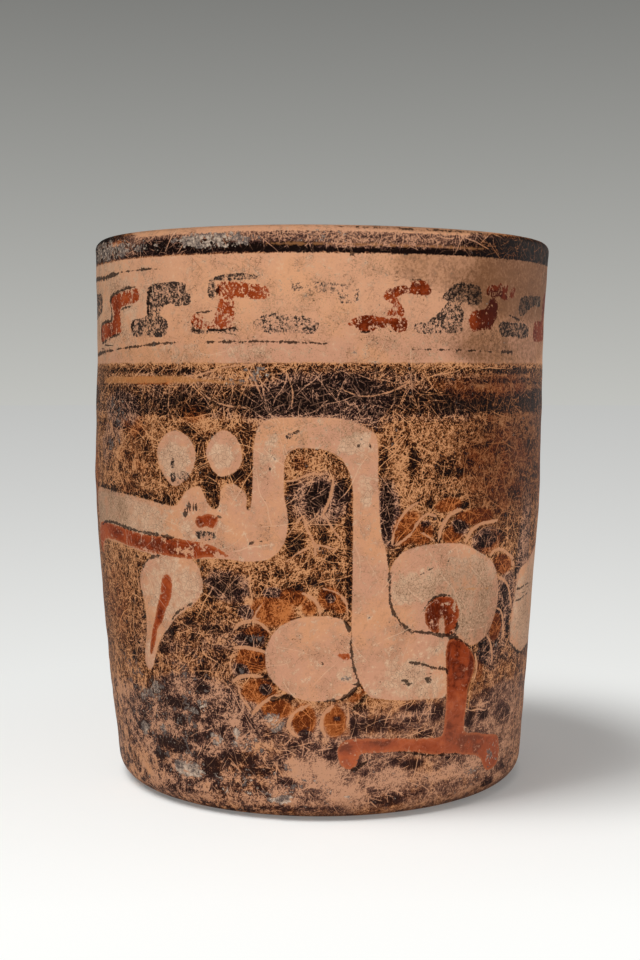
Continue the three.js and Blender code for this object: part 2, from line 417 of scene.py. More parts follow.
slipLines = [  # pale lines that part the petals round the discs, and long worn lines in the ground
    (0.34, [(21.7, 81.2), (22.2, 84.6), (23.6, 88), (26, 91.2), (29.4, 93.2)]),
    (0.34, [(22.8, 80.9), (27, 83.8), (29.6, 87.6), (32.4, 89.6), (35.4, 89)]),
    (0.26, [(30.2, 84.6), (33, 83.2), (35.2, 81.8)]),
    (0.58, [(36.6, 81.6), (37.4, 85), (39, 87.6), (41.6, 89.6), (45, 90.4)]),
    (0.56, [(46.8, 80.4), (48, 82.6), (50.2, 84.6), (53.4, 85.7), (57, 85.9), (61, 86.3)]),
    (0.46, [(58.2, 75.8), (60, 77.1), (63, 77.3), (66, 76.3), (69, 74.8), (72, 73.6)]),
    (1.1, [(70.8, 72.6), (72.2, 71.6)]),
    (0.46, [(62.8, 68.8), (65.6, 68), (68.6, 66.3), (70.6, 63.8), (71.8, 61), (73, 58)]),
    (0.42, [(63.6, 59.2), (65.9, 58.2), (67.5, 55.8), (68.3, 52), (69.4, 49)]),
    (0.4, [(58.8, 51.6), (61, 49), (62.4, 45.8), (62.6, 42.6)]),
    (0.34, [(53.4, 46.6), (54.5, 43.6), (54.4, 40.6), (53.4, 38)]),
    (0.46, [(-25.4, 56.2), (-23.4, 58), (-20, 59.1), (-16.6, 58.4), (-13.8, 55.6)]),
    (0.56, [(-25.6, 51), (-22.4, 51.3), (-19, 51), (-15.6, 50.2)]),
    (0.3, [(-25.8, 49.6), (-26.9, 46.4), (-26.9, 43)]),
    (0.5, [(-26.4, 40.8), (-24, 42.4), (-20.6, 43.1), (-16.8, 43)]),
    (0.34, [(-24.8, 40.4), (-23.6, 36.4), (-20.8, 33)]),
    (0.56, [(-20.4, 31.6), (-17.6, 34.6), (-14, 36.9), (-10.4, 38.2)]),
    (0.46, [(-4.4, 67.6), (-1.2, 66), (0.6, 63.4), (0.7, 60.8)]),
    (0.26, [(-19.4, 58.6), (-17.8, 62.2), (-15, 65.6)]),
    (0.36, [(1.6, 69), (6, 67.6), (8.4, 64.6), (8.9, 61)]),
    (0.6, [(-6.2, 25.4), (-8.7, 27.4), (-8.9, 30), (-6.8, 33), (-2.4, 35.3)]),
    (0.56, [(4.6, 34.8), (1.9, 32.6), (0.9, 29.4), (2, 25.4)]),
    (0.3, [(9, 34.4), (9.1, 31), (8.6, 28.2)]),
    (0.3, [(-86, 79.4), (-80, 78.4), (-72, 78.1), (-64, 77.6)]),
    (0.3, [(-62.4, 71), (-62.6, 68), (-61.8, 64.6)]),
    (0.36, [(-14, 17.6), (-12.4, 15), (-11.2, 13)]),
    (0.32, [(-28.6, 16.2), (-26.6, 15.2), (-25.2, 13.8)]),
    (0.28, [(-9.6, 99.4), (-6.4, 99.8), (-2.6, 101.4), (1.6, 101.6)]),
    (0.42, [(4.4, 101.4), (4, 97), (2.8, 93), (1.2, 89.6)]),
    (0.3, [(-4, 90), (-3, 86), (-1, 82), (-0.6, 78)]),
    (0.24, [(-8.6, 84), (-6, 87.6), (-4.4, 89.6)]),
    (0.26, [(2, 90), (4.4, 86), (7, 82.4)]),
    (0.24, [(-9, 76.6), (-4, 80), (0.4, 81.4), (6, 80)]),
    (0.18, [(-22, 133), (-18.6, 128), (-16, 122.4)]),
    (0.2, [(-42, 128.4), (-36, 129.2), (-28, 131.2), (-18, 132.4)]),
    (0.16, [(-38.4, 127.8), (-34.6, 123.8), (-28, 120.8), (-20, 119.8)]),
    (0.14, [(-45, 131), (-46.6, 126), (-47, 119)]),
    (0.15, [(-9.6, 131), (-7.4, 124.4), (-7.8, 119.6)]),
    (0.15, [(4, 126.4), (12, 123.4), (20, 124.6), (27, 127.6)]),
]

goldLines = [  # ochre stripes
    (1.0, [(-82, 127.2), (-70, 127.5), (-54, 127.7), (-44, 127.8), (-37, 127.5)]),
    (0.35, [(-37, 127.8), (-30, 127.2), (-22, 127)]),
    (0.2, [(-16, 165.6), (0, 165.5), (16, 165.5), (34, 165.5), (50, 165.7)]),
    (0.22, [(54, 44), (53.6, 40), (52, 36), (51.8, 30)]),
    (0.1, [(47, 66.8), (52, 66.3), (58, 66)]),
]

redWear = [  # where the red paint has flaked off: middle, half sizes, strength
    (-43.6, 79, 1.5, 2, 0.5), (-39.8, 78, 2.4, 1.3, 0.5), (-34.4, 80, 2.6, 1.6, 0.34),
    (-28, 78, 3.4, 1.6, 0.4), (-48.4, 80.6, 1.6, 0.8, 0.36), (-57, 77.4, 4, 0.6, 0.4),
    (-88, 75, 2, 1, 0.3), (40.4, 63.2, 2.6, 0.6, 0.5), (43.4, 61.6, 1, 2, 0.4), (35.8, 58, 0.9, 2, 0.4),
    (43.6, 55, 1.4, 0.7, 0.4), (-52.8, 54.6, 1.4, 0.7, 0.5), (-51.4, 59, 0.7, 2, 0.25),
    (10.6, 23.6, 3, 0.7, 0.3), (12, 19, 1, 1.4, 0.4), (61, 18.6, 0.5, 1, 0.4),
    (-32.4, 88.6, 1.2, 0.5, 0.3), (31, 19.9, 6, 0.5, 0.24), (-46.8, 64, 0.6, 2, 0.3),
    (-64, 152.6, 5, 2, 0.24), (70, 14, 2, 4, 0.24),
]

redShade = [  # where the red paint is brighter, or darker if below nothing: as above
    (-48.6, 66, 4, 6, 0.3), (-50.6, 57, 3, 3.4, -0.6), (-53, 50, 2.4, 3, -0.2), (36, 59, 6, 5.4, -0.7),
    (26, 22, 16, 2, 0.4), (9, 19, 4, 4, 0.6), (41, 44, 1.6, 10, -0.5), (52, 40, 1.4, 14, -0.7),
    (66, 12, 6, 4, 0.1), (55, 147, 6, 7, -1.0), (34, 153, 7, 4, -0.2), (-33.6, 87, 4, 3, -0.25),
    (-50, 79, 14, 2.4, -0.25), (-86, 78, 8, 6, 0.6), (47, 30, 4, 10, 0.1), (55, 18, 8, 3, -0.12),
    (8.4, 21.8, 2.8, 1.6, -0.9), (12.4, 18.6, 2.6, 2.4, 0.6), (20, 22.8, 6, 1.2, -0.6),
    (34, 21.8, 8, 1.2, -0.3), (56, 22, 5, 2, -0.4), (44, 24, 3, 3, -0.3), (46.6, 46, 4, 6, -0.35),
    (18, 143.6, 10, 3, -0.4), (26, 153.4, 7, 3, -0.35), (-12.4, 52, 3, 2, -0.4),
]

darkGround = {
    # Bands that run all the way round: lowest, highest, softness of the edge, darkness
    "bands": [
        (163.1, 164.3, 0.3, 0.9), (164.2, 169, 0.5, 0.32), (132, 133, 0.5, 0.34),
        (126, 132.1, 0.7, 0.58), (129.7, 130.9, 0.5, 0.7), (117.4, 126, 1.0, 0.84),
        (76, 117.4, 2.0, 0.44), (34, 78, 3.0, 0.44), (12, 36, 3.0, 0.41), (4, 13, 2.0, 0.36),
        (-1, 4.5, 2.0, 0.42),
    ],
    # Patches, each an oval: middle, half sizes, darkness, and for one that leans, how far it goes to
    # the right for each millimetre up
    "patches": [
        (-88, 167.4, 24, 4.4, 1.0), (-20, 164.8, 24, 1.6, 1.0), (-44, 165.8, 22, 2.1, 1.0),
        (40, 164.1, 34, 0.8, 0.98), (56, 166.6, 20, 1.8, 0.8), (76, 167.2, 32, 3.4, 1.0),
        (92, 165.6, 18, 3.4, 1.04), (-17, 121.6, 15, 4.4, 1.1), (-5, 123, 10, 5.4, 1.14),
        (7, 125.6, 11, 5.2, 1.1, 0.3), (18, 123, 10, 4, 1.0), (34, 121.6, 12, 4.2, 1.08, -0.4),
        (53, 120.4, 16, 2.4, 0.98), (76, 120.6, 16, 2.2, 0.94), (62, 130.7, 32, 0.7, 1.0),
        (64, 127.7, 28, 0.6, 0.8), (64, 123.4, 28, 0.9, 0.96), (-44, 120.4, 16, 3.8, 1.1),
        (-30, 120.2, 8, 3.6, 1.0), (-57, 120.2, 8, 3.4, 1.04), (-70, 119.4, 8, 3.6, 0.84),
        (-78, 125, 12, 3.6, 0.66), (-92, 122, 10, 5, 0.74), (-60, 130.2, 30, 0.8, 0.96),
        (-10, 130, 26, 0.7, 0.74), (0, 131, 30, 1.6, 0.6), (-40, 113.4, 3.4, 1.6, 0.9, -0.8),
        (-56, 107.6, 2.4, 2.4, 0.8), (-66, 112.6, 2.6, 1.6, 0.8), (-76, 108, 3, 2, 0.7),
        (-65, 105, 4, 2, 0.76), (-60, 99, 4, 3, 0.72), (-64, 96, 5, 1.6, 0.84),
        (-56, 93.8, 6, 1.2, 0.94, -1.2), (-47, 92.6, 3.6, 1.6, 0.98), (-80, 94.6, 14, 0.9, 0.84),
        (-84, 113, 3.6, 4, 0.7), (-70, 101, 2, 1.6, 0.84), (-72, 114, 2.4, 1.4, 0.8),
        (-59, 111.6, 2, 2, 0.84), (-35, 109.4, 1.9, 3.4, 0.92), (-34.6, 103, 1.9, 4, 0.94, -0.2),
        (-31.6, 97.6, 2.6, 4.4, 0.98, -0.2), (-30, 93, 1.6, 3, 0.98, -0.2), (-29, 101, 4.6, 1.4, 0.98),
        (-22.6, 101.4, 4, 1.8, 0.98), (-20, 107, 1.5, 8, 0.9), (-19.6, 98, 1.2, 4, 0.92),
        (-22, 112, 4, 4, 0.72, 0.4), (0, 95.4, 4.0, 4.8, 1.04, 0.25), (-1.8, 91.4, 2.2, 1.8, 1.02),
        (7.4, 96.6, 2.7, 4.4, 1.0, 0.1), (8.8, 89, 1.2, 10, 0.88), (9.4, 72, 0.8, 14, 0.9),
        (9, 64.6, 0.8, 3, 0.95), (-7.4, 98.4, 1.9, 2.2, 0.94), (-8, 88, 1.2, 6, 0.7),
        (-6.4, 81.4, 3.0, 4, 0.96, 0.2), (1.2, 84.4, 1.7, 3.4, 0.96, -0.2), (-8, 93, 1.6, 3, 0.82),
        (-3.4, 76.6, 3, 2.6, 0.8), (-7.6, 69.4, 3.4, 1.6, 0.96), (-1.4, 70.6, 2, 2, 0.84),
        (4.4, 77, 2.6, 2.6, 0.76), (7, 71.6, 1.8, 2, 0.8), (-10.6, 73, 3, 1.6, 0.8),
        (5.2, 104, 3.4, 3, 0.62, -0.5), (-6, 104.6, 2, 3, 0.6), (-16, 72.6, 4, 2, 0.66),
        (-20, 88, 1, 4, 0.6), (19.9, 91, 2.1, 9.4, 1.04), (18.7, 105.6, 1.5, 5.4, 0.94, 0.1),
        (27.6, 104.6, 1.8, 6.4, 0.98, 0.1), (25.6, 110.6, 1.6, 3, 0.72, -0.4),
        (38.6, 103, 4, 3.6, 1.0, 0.2), (43, 101, 2.6, 2.4, 0.84), (47, 103, 2.4, 2.6, 0.76),
        (33.4, 92.6, 1.5, 1.6, 1.0), (41, 94.8, 3.6, 0.8, 0.9, 0.1), (29.6, 94, 1.2, 1, 0.9),
        (46.2, 91.8, 2, 1.2, 0.9), (24, 77.7, 1.4, 1.6, 0.96), (32, 85.6, 2.2, 2.2, 0.8),
        (24.4, 84, 1.2, 1.6, 0.7), (34.8, 84.4, 1.4, 1.6, 0.76), (44.4, 85.4, 3.4, 2.8, 0.86),
        (52, 87.6, 8, 2.4, 0.62), (63, 73, 3.6, 2.8, 0.66), (37, 82, 0.8, 1, 0.9),
        (28, 81, 1, 0.7, 0.8), (56.6, 80.8, 6, 3.2, 0.8, 0.3), (52, 79.4, 3, 1.4, 0.8, 0.5),
        (62, 81.4, 4, 3, 0.7), (60.8, 73.6, 1.1, 2.6, 0.94, -0.3), (64.4, 75, 3, 0.9, 0.8, -0.5),
        (68, 64, 3.4, 3.4, 0.9, -0.3), (66, 58, 2, 4, 0.76, -0.2), (71, 54, 1.5, 6, 0.84, -0.1),
        (56.8, 49.6, 2.3, 2.2, 0.98), (57.6, 45, 2.6, 3.4, 0.84), (64.6, 48.4, 1.5, 1.5, 0.9),
        (74.6, 68.6, 1.4, 1.4, 0.9), (76.4, 63.6, 1.3, 0.9, 0.96), (76.4, 59.6, 1.1, 0.8, 0.9),
        (72, 82, 6, 4, 0.66), (76, 98, 8, 4, 0.66), (60, 108.4, 12, 2.4, 0.7), (52, 115, 6, 3, 0.66),
        (70, 94, 6, 2.6, 0.72), (78, 108, 8, 2, 0.7), (-27.6, 69.4, 6, 3.6, 0.92),
        (-33, 66, 3.6, 4, 0.82, 0.3), (-37.6, 59, 4.4, 2.8, 0.86, 0.8), (-24, 67, 4, 2.6, 0.8),
        (-22, 62, 3, 2, 0.76), (-47.4, 53.6, 2, 2.8, 0.98, 0.4), (-51.4, 48.6, 2.6, 2.4, 0.96, 0.4),
        (-38.6, 52, 3, 2.6, 0.76), (-31, 56, 6, 1, 0.9), (-31, 48, 4, 3, 0.74), (-36, 43, 4, 3, 0.8),
        (-58, 36, 4.4, 3, 0.98), (-19.9, 54.3, 4.9, 2.9, 0.9), (-20.4, 47.2, 4.4, 3.2, 0.62),
        (-18.2, 38.6, 5, 3, 0.44), (-12.6, 33.8, 4.6, 2.4, 0.6), (-4.3, 31, 3.4, 4.4, 0.58),
        (5, 30.4, 3.4, 4.6, 0.44), (-21, 61.6, 2.2, 1.8, 0.84), (-7, 66.7, 2.4, 1.3, 0.84),
        (-22.6, 57, 2, 1, 0.9), (-15.6, 55.6, 1, 2.2, 1.0, -0.5), (-23.3, 44.4, 2.4, 1.9, 0.94),
        (-17.4, 48.4, 2, 0.9, 1.0, -0.8), (-15.9, 39.3, 2.2, 1.9, 0.94), (-4, 25.8, 2.2, 1.6, 0.84),
        (-14, 42, 1.2, 1, 1.0, -0.6), (-16, 43, 1, 0.6, 0.9), (-13, 67.4, 2.6, 1.6, 0.9, -0.3),
        (-7.8, 60.4, 0.9, 1, 0.98), (3.4, 67, 2.3, 2, 0.82, -0.4), (3.6, 63.6, 1.4, 1, 0.74),
        (6.8, 63.6, 1.3, 1.2, 0.78), (5.6, 61, 1.9, 0.8, 0.96), (6.6, 67.6, 1.6, 0.7, 0.95, -1.2),
        (-2.5, 64, 2, 1.9, 0.8), (-47.6, 32.4, 6, 1.9, 1.25, 0.2), (-47.4, 27.4, 2.6, 2, 1.2),
        (-36, 30.4, 7, 4, 0.82), (-29, 26, 4, 3, 0.74), (-51, 19, 8, 2.6, 1.25, 0.1),
        (-58, 14.8, 3.2, 2.2, 1.1), (-35.6, 14.2, 4, 3.4, 1.2), (-26, 18.4, 7, 2.2, 1.0, -0.3),
        (-66, 24, 4, 4, 0.8), (-40, 23, 5, 2.4, 0.88), (-67, 44, 2.4, 2, 0.9), (-61, 46, 1.6, 2, 0.8),
        (-37, 38, 3, 2, 1.1), (-21, 14.6, 6, 1.5, 0.96, -0.3), (-9, 11.8, 6, 1.3, 0.9, -0.5),
        (-18.6, 9.6, 3, 1.4, 0.8), (-33, 9, 4, 2, 0.7), (-50, 6, 8, 1.3, 0.72), (-27, 9, 3, 1, 0.8),
        (-78, 14, 1.5, 5, 0.7), (-14, 3.6, 10, 1, 0.76), (2, 3.6, 8, 0.8, 0.7), (-16, 26, 3, 2, 0.72),
        (-8, 22.6, 2, 1.6, 0.72), (17, 28.4, 5.6, 2.6, 0.88), (11, 28.6, 1.5, 3.8, 0.94),
        (13.4, 33.4, 1.8, 1, 0.9, 0.6), (30.4, 33, 4, 1.3, 0.84), (38.8, 30.6, 2.7, 3.6, 0.88, 0.1),
        (34.6, 24.4, 5, 0.9, 0.8), (24.6, 27.4, 3, 1.4, 0.8), (29, 29, 3, 1.2, 0.76),
        (30.6, 15.8, 5, 1.4, 0.96), (24, 17.4, 3, 1.2, 0.7), (14, 14.6, 1.6, 1.6, 0.7),
        (44, 15.6, 2.6, 0.8, 0.84), (22.6, 5.4, 7, 1.9, 0.8), (31, 7, 5, 1.4, 0.6),
        (53, 27, 2.3, 3.6, 0.9), (60, 27, 3, 1.6, 0.92), (72.6, 25, 7, 4.4, 0.78, -0.6),
        (61, 33, 5, 2.4, 0.7), (64.4, 4.6, 4, 1.7, 0.92), (74, 8, 5, 2, 0.66),
        (3.6, 19.4, 3, 1.2, 0.84), (4.4, 22.4, 1.8, 2, 0.8), (-2, 22.8, 3, 1.8, 0.66),
        (5.6, 30.9, 1.5, 1.4, 0.84), (-3.9, 26.6, 2, 1.5, 0.9), (0.5, 26.2, 0.7, 1.5, 0.9),
        (11.6, 17.6, 2, 1.6, 0.8, 0.6), (-6.6, 29, 0.8, 2, 0.6), (13.6, 11, 1.6, 1.2, 0.7),
        (17, 8, 2, 1, 0.7),
    ],
    # Patches where the ground is worn down to the slip: middle, half sizes, strength
    "worn": [
        (-33, 115.4, 5, 2, 0.6), (-9, 106.6, 2, 1.6, 0.4), (3, 103, 3, 3, 0.35),
        (-28, 129, 12, 2.2, 0.4), (-14, 116, 3, 2, 0.5), (-2, 14.6, 8, 4.4, 0.8), (-28, 29, 2, 3, 0.5),
        (-52, 25, 3, 1.6, 0.5), (-44, 38, 3, 3, 0.5), (-66, 14, 4, 4, 0.4), (7, 8, 7, 4, 0.85),
        (-8, 17.6, 3, 2, 0.6), (-17, 31.6, 3, 3, 0.3), (36, 112, 7, 6, 0.32), (28, 30.6, 3.4, 0.8, 0.6),
        (22, 12, 7, 3, 0.7), (52, 12, 7, 3, 0.6), (-62.6, 48, 1.9, 3, 0.6), (18, 22.4, 4, 1, 0.3),
        (-88, 28, 12, 16, 0.45), (-68, 8, 10, 4, 0.4), (-24, 36, 6, 5, 0.3), (23.6, 100, 2, 12, 0.42),
        (40, 11, 9, 2, 0.5), (58.6, 30.6, 2.6, 1.6, 0.6), (-9.8, 60.7, 3, 1.4, 0.5),
        (-16.6, 60.6, 1.8, 2.4, 0.4), (-4.6, 62, 1.6, 1.4, 0.4), (-73, 167.6, 5, 0.9, 0.85),
        (-91, 168.4, 2, 0.8, 0.7), (44, 97, 6, 1.6, 0.3), (62, 129.2, 26, 0.7, 0.5),
        (62, 125.6, 26, 1.2, 0.6), (72, 116.6, 18, 1.6, 0.5), (-82, 122, 8, 3, 0.3),
        (66, 38, 6, 2, 0.3), (44, 3, 24, 3, 0.3), (80, 18, 14, 12, 0.35), (-27.4, 118, 5, 1.4, 0.5),
        (22, 115, 4, 3, 0.4), (-0.2, 28.4, 0.8, 3.4, 0.4), (-20, 65, 2, 2, 0.4), (-10, 63, 3, 2, 0.6),
        (-1.8, 66.8, 2, 3, 0.6), (-4, 74, 2, 1, 0.4), (-52, 96.4, 5, 2, 0.4), (-70, 105, 3, 1.6, 0.7),
        (-61, 103, 2, 3, 0.5), (-74, 98.6, 4, 1.2, 0.6), (-57, 102, 2, 2, 0.5), (-80, 100, 3, 3, 0.3),
    ],
}

orangePaint = {  # orange and ochre paint over the slip, mostly in the petals: as above
    "patches": [
        (-13.4, 62, 7, 4.4, 1.0), (-7, 66.4, 4, 2.6, 1.0, -0.3), (-2.4, 63.2, 2.4, 2.4, 1.0),
        (3.6, 66, 3.4, 3.4, 0.9), (6.8, 63.4, 1.9, 2, 0.9), (-20.2, 47.6, 4.8, 3.6, 1.0),
        (-18.6, 55.8, 4.4, 2, 0.8), (-18, 38.4, 5.6, 3.8, 0.9), (-12.4, 33.6, 5, 2.9, 1.0),
        (-4.3, 30.6, 3.8, 5, 1.0), (5, 30, 3.8, 5, 1.0), (11, 37, 2, 1.4, 0.8, 0.6),
        (14, 39.6, 1, 1.4, 0.8), (26, 86, 4, 5, 0.95, 0.3), (31, 84, 4, 3, 0.95),
        (40, 92, 5, 2, 1.0, 0.4), (42, 83, 4, 2.6, 0.95), (51, 88, 8, 2.4, 1.0),
        (65.4, 72.6, 5, 3.2, 1.0, -0.5), (63.6, 53.4, 3.4, 4.4, 0.95), (57, 80, 8, 4, 0.5),
        (-64, 101, 10, 10, 0.34), (-62, 114, 8, 4, 0.4), (-76, 168, 12, 1.6, 0.6),
        (-56, 127.4, 12, 1.4, 0.9), (56, 126, 24, 4.6, 0.5), (58, 115, 12, 5, 0.3),
        (62, 102, 22, 14, 0.46), (-78, 60, 12, 14, 0.4), (-38, 118, 6, 3, 0.5), (-96, 98, 8, 10, 0.6),
        (104, 100, 12, 16, 0.5), (-4, 104, 4, 3, 0.4), (56, 41, 2, 4, 0.6), (8, 26.6, 2, 2, 0.5),
    ],
}

purple = {  # where the dark ground is cooler, nearly violet or grey: as above
    "bands": [(163, 170, 1, 0.95), (116, 131, 1.5, 0.4), (0, 36, 6, 0.7), (36, 60, 8, 0.4)],
    "patches": [
        (0, 122, 22, 9, 0.9), (20, 91, 4, 11, 0.8), (0, 94, 9, 8, 0.7), (-70, 119, 12, 6, 0.9),
        (68, 62, 7, 9, 1.0), (-20.6, 53.4, 5, 2.2, 1.2), (-23.4, 44.6, 3, 2.4, 1.3),
        (-15.9, 39.3, 2.6, 2.2, 1.3), (-4.2, 26.2, 2.6, 2, 1.3), (-13.2, 67.4, 2.6, 1.6, 1.3),
        (-21, 61.6, 2.6, 2, 1.3), (3.8, 66.2, 2.2, 2.2, 1.1), (5.7, 31, 1.6, 1.5, 1.1),
        (44.4, 85.4, 3.4, 3, 1.1), (32, 85.6, 2.4, 2.4, 1.0), (56.6, 80.8, 7, 3.6, 1.0, 0.3),
        (60, 18, 24, 12, 0.9), (-40, 28, 26, 14, 1.0), (72, 26, 14, 10, 1.0), (-76, 108, 10, 8, 0.6),
        (60, 48, 6, 6, 0.8), (-24, 14, 16, 6, 0.7), (88, 118, 12, 10, 0.6), (-27, 69, 8, 5, 0.8),
        (80, 70, 6, 30, 0.7), (70, 92, 10, 8, 0.5),
    ],
    "worn": [
        (-64, 100, 14, 10, 0.8), (66, 106, 18, 18, 0.7), (70, 166, 30, 4, 0.7), (-78, 58, 14, 14, 0.6),
    ],
}

crust = {  # grey mineral crust left by the soil
    "patches": [
        (-80, 166.4, 22, 3.4, 0.84), (-54, 166, 6, 1.4, 0.6), (-33, 166.8, 13, 2.4, 1.0),
        (-45.4, 12.2, 6.4, 2.4, 1.3, -0.15), (-65.6, 21.8, 2, 2.8, 1.0), (-57, 36, 2.4, 2.2, 1.0),
        (-37.2, 32.6, 1.5, 1.7, 1.1), (-60.4, 22.4, 4, 2, 0.66, 0.1), (-26, 25.6, 1.4, 1.7, 1.3),
        (-26.6, 22.6, 1.2, 1.6, 0.9, 0.4), (-33, 23, 2.4, 2.6, 1.0),
        (-13.6, 29.6, 3.2, 3.2, 0.86, -0.2), (-64, 33, 3, 2.6, 0.7), (-38, 33, 1.8, 1.6, 0.8),
        (-58, 35, 5, 3.6, 0.66), (-42, 31, 3, 1.6, 0.74), (-31, 7.8, 1.6, 0.9, 1.0, -0.6),
        (-12, 6.2, 5, 1.3, 1.2), (-55.2, 23.6, 1.5, 1.5, 0.9), (-15, 8.2, 2, 1, 0.8),
        (-70, 40, 8, 6, 0.44), (-64, 30, 10, 10, 0.4), (-50, 24, 14, 12, 0.4), (-22, 22.6, 5, 3, 0.6),
        (-40, 40, 10, 8, 0.36), (8.6, 7.4, 1.3, 0.7, 0.9), (55, 10, 5, 3, 0.46), (66, 14, 4, 4.4, 0.6),
        (-20, 54, 4, 1.6, 0.42), (-23.4, 44.6, 2, 1.4, 0.46), (-16, 38.8, 1.4, 1.2, 0.46),
        (64.6, 48, 1, 1, 0.8), (66, 13, 3, 2, 0.56), (2, 167.4, 12, 1.6, 0.5), (-18, 130, 5, 2, 0.62),
        (-24, 128, 7, 2, 0.5), (-72, 118, 8, 5, 0.5), (-74, 108, 5, 3, 0.54), (96, 166, 12, 3, 0.4),
        (-104, 30, 9, 12, 0.4), (8, 42.6, 1.6, 1.6, 0.5), (-10.4, 16.6, 0.8, 0.8, 0.7),
        (-16, 12, 20, 5, 0.36),
    ],
}

paleWash = {  # where the slip is a paler cream rather than orange buff
    "patches": [
        (-88, 150, 34, 17, 0.8), (-74, 88, 30, 9, 0.95), (-44.5, 104.6, 5.6, 5.6, 1.0),
        (-28.4, 106, 4, 4, 1.0), (10, 110, 5, 3, 0.95, 0.6), (13.4, 97, 2, 6, 0.9, -0.1),
        (-14, 108, 4, 6, 0.6), (27, 42, 12, 6, 0.7), (30, 69, 9, 6, 0.95, 0.4), (50, 65, 14, 14, 0.8),
        (36, 50.4, 6, 3, 0.6), (-46, 66, 12, 10, 0.95), (94, 58, 22, 18, 0.9), (8, 44, 2.4, 3, 0.7),
        (30, 39, 14, 4, 0.8), (50, 136, 34, 3, 0.3), (-38, 85, 8, 5, 0.5), (-54, 160, 18, 5, 0.35),
        (-4, 161, 20, 4, 0.3), (104, 148, 14, 16, 0.8), (-40, 135.5, 34, 2.4, 0.5),
        (-58, 46, 3, 5, 0.9), (-33.6, 144, 2.6, 1.6, 0.9),
    ],
}

greyDust = {  # where the bare slip is dusted grey-brown by fine specks
    "bands": [(132.6, 137, 1.5, 0.5)],
    "patches": [
        (0, 113, 14, 4, 0.6), (56, 64, 8, 12, 0.5), (-2, 154, 14, 6, 0.4), (-8, 149, 10, 5, 0.6),
        (4, 146, 12, 6, 0.45), (14, 160, 8, 4, 0.6), (-24, 145, 10, 5, 0.4), (26, 140, 14, 5, 0.5),
        (40, 138, 30, 5, 0.6), (60, 140, 22, 6, 0.5), (-54, 134.6, 24, 2.4, 0.7),
        (-82, 148, 20, 14, 0.5), (-80, 88, 16, 8, 0.8), (-12, 112, 6, 6, 0.4), (50, 60, 14, 10, 0.5),
        (-8, 134, 20, 2, 0.5), (92, 56, 16, 16, 0.5), (28, 38, 12, 2.4, 0.3), (32, 70, 12, 8, 0.5),
        (-54, 87, 12, 5, 0.4), (-26, 80, 12, 3, 0.25),
    ],
}

brownStainAndShade = {  # where the bare slip is browned, round the foot and lip and in patches: partly stain, partly painted shade towards the side edges of the front view and over its right side
    "bands": [(-2, 7, 3.0, 0.5), (170.2, 173, 0.4, 0.36)],
    "patches": [
        (74, 156, 38, 14, 1.0), (54, 158, 24, 10, 0.7), (70, 140, 34, 9, 0.74), (34, 160, 16, 7, 0.6),
        (54, 137, 16, 5, 0.8), (30, 148, 12, 9, 0.24), (76, 106, 36, 20, 1.0), (66, 124, 32, 8, 1.0),
        (62, 92, 18, 10, 0.8), (84, 30, 18, 24, 0.4), (-84, 104, 12, 12, 0.3), (-96, 60, 12, 70, 0.4),
        (94, 80, 14, 50, 0.5), (-108, 150, 12, 18, 0.4), (86, 168, 20, 5, 1.0), (48, 63, 18, 14, 0.46),
        (58, 58, 9, 14, 0.6), (44, 6, 34, 5, 0.3), (76, 30, 16, 20, 0.36), (-80, 88, 12, 9, 0.32),
        (30, 170.4, 30, 1, 0.6), (-92, 168, 12, 4, 0.5),
    ],
}

rootMarks = {  # how thickly fine roots have etched the surface
    "bands": [
        (117, 132.6, 1.0, 0.9), (60, 117, 6.0, 0.7), (14, 62, 8.0, 0.36), (163.6, 169.4, 0.6, 0.35),
        (4, 14, 2, 0.2),
    ],
    "patches": [
        (-20, 122, 44, 10, 1.0), (-56, 123, 26, 9, 0.9), (-2, 86, 9, 14, 1.0), (60, 167, 34, 3, 0.7),
        (26, 100, 12, 14, 0.8), (-40, 162, 14, 4, 0.3), (-30, 64, 12, 10, 0.6), (14, 22, 20, 6, 0.3),
        (-26, 134, 24, 3, 0.4), (60, 14, 18, 6, 0.2), (60, 108, 24, 16, 0.8),
    ],
    "worn": [(-80, 40, 20, 22, 0.5), (64, 36, 14, 10, 0.6), (-44, 28, 22, 16, 0.6)],
}

strokeLayers = {"ink": ink, "slip": slipLines, "gold": goldLines}
softLayers = {
    "dark": darkGround,
    "orange": orangePaint,
    "purple": purple,
    "crust": crust,
    "pale": paleWash,
    "dust": greyDust,
    "stain": brownStainAndShade,
    "roots": rootMarks,
}
strokeShape = {
    "reach": 2.6,  # a stroke is looked for within this distance
    "tip": 0.6,  # its share of its width at its ends
    "widening": 0.2,  # how much that share grows with each step inwards
    "pastEnd": 1.2,  # how fast it narrows past its ends
    "aside": 1.3,  # past this distance to its side it narrows too
}
sideShift = 1.2  # how far the second side's painting is moved up and down
farOutside = 7.0  # depths are not worked out past this distance from an outline
rimOfOutline = 2.5  # within this distance outside it, an outline's paint still counts as the nearest


# A smooth line through chosen points: between two of them it is a cubic that leaves each in the
# direction from the point before to the point after
def curveThrough(points, closed, perSpan=5):
    here = np.array(points, float)
    if closed:
        before, after, beyond = (np.roll(here, shift, axis=0) for shift in (1, -1, -2))
    else:
        padded = np.vstack([2 * here[0] - here[1], here, 2 * here[-1] - here[-2]])
        before, here, after, beyond = padded[:-3], padded[1:-2], padded[2:-1], padded[3:]
    t = (np.arange(perSpan) / perSpan)[None, :, None]
    before, here, after, beyond = (p[:, None, :] for p in (before, here, after, beyond))
    line = 0.5 * (
        2 * here
        + (after - before) * t
        + (2 * before - 5 * here + 4 * after - beyond) * t**2
        + (3 * here - before - 3 * after + beyond) * t**3
    )
    line = line.reshape(-1, 2)
    return line if closed else np.vstack([line, points[-1]])


# Which of the given places lie within a reach of a line's own box
def nearLine(line, arc, height, reach):
    low, high = line.min(axis=0) - reach, line.max(axis=0) + reach
    return (arc > low[0]) & (arc < high[0]) & (height > low[1]) & (height < high[1])


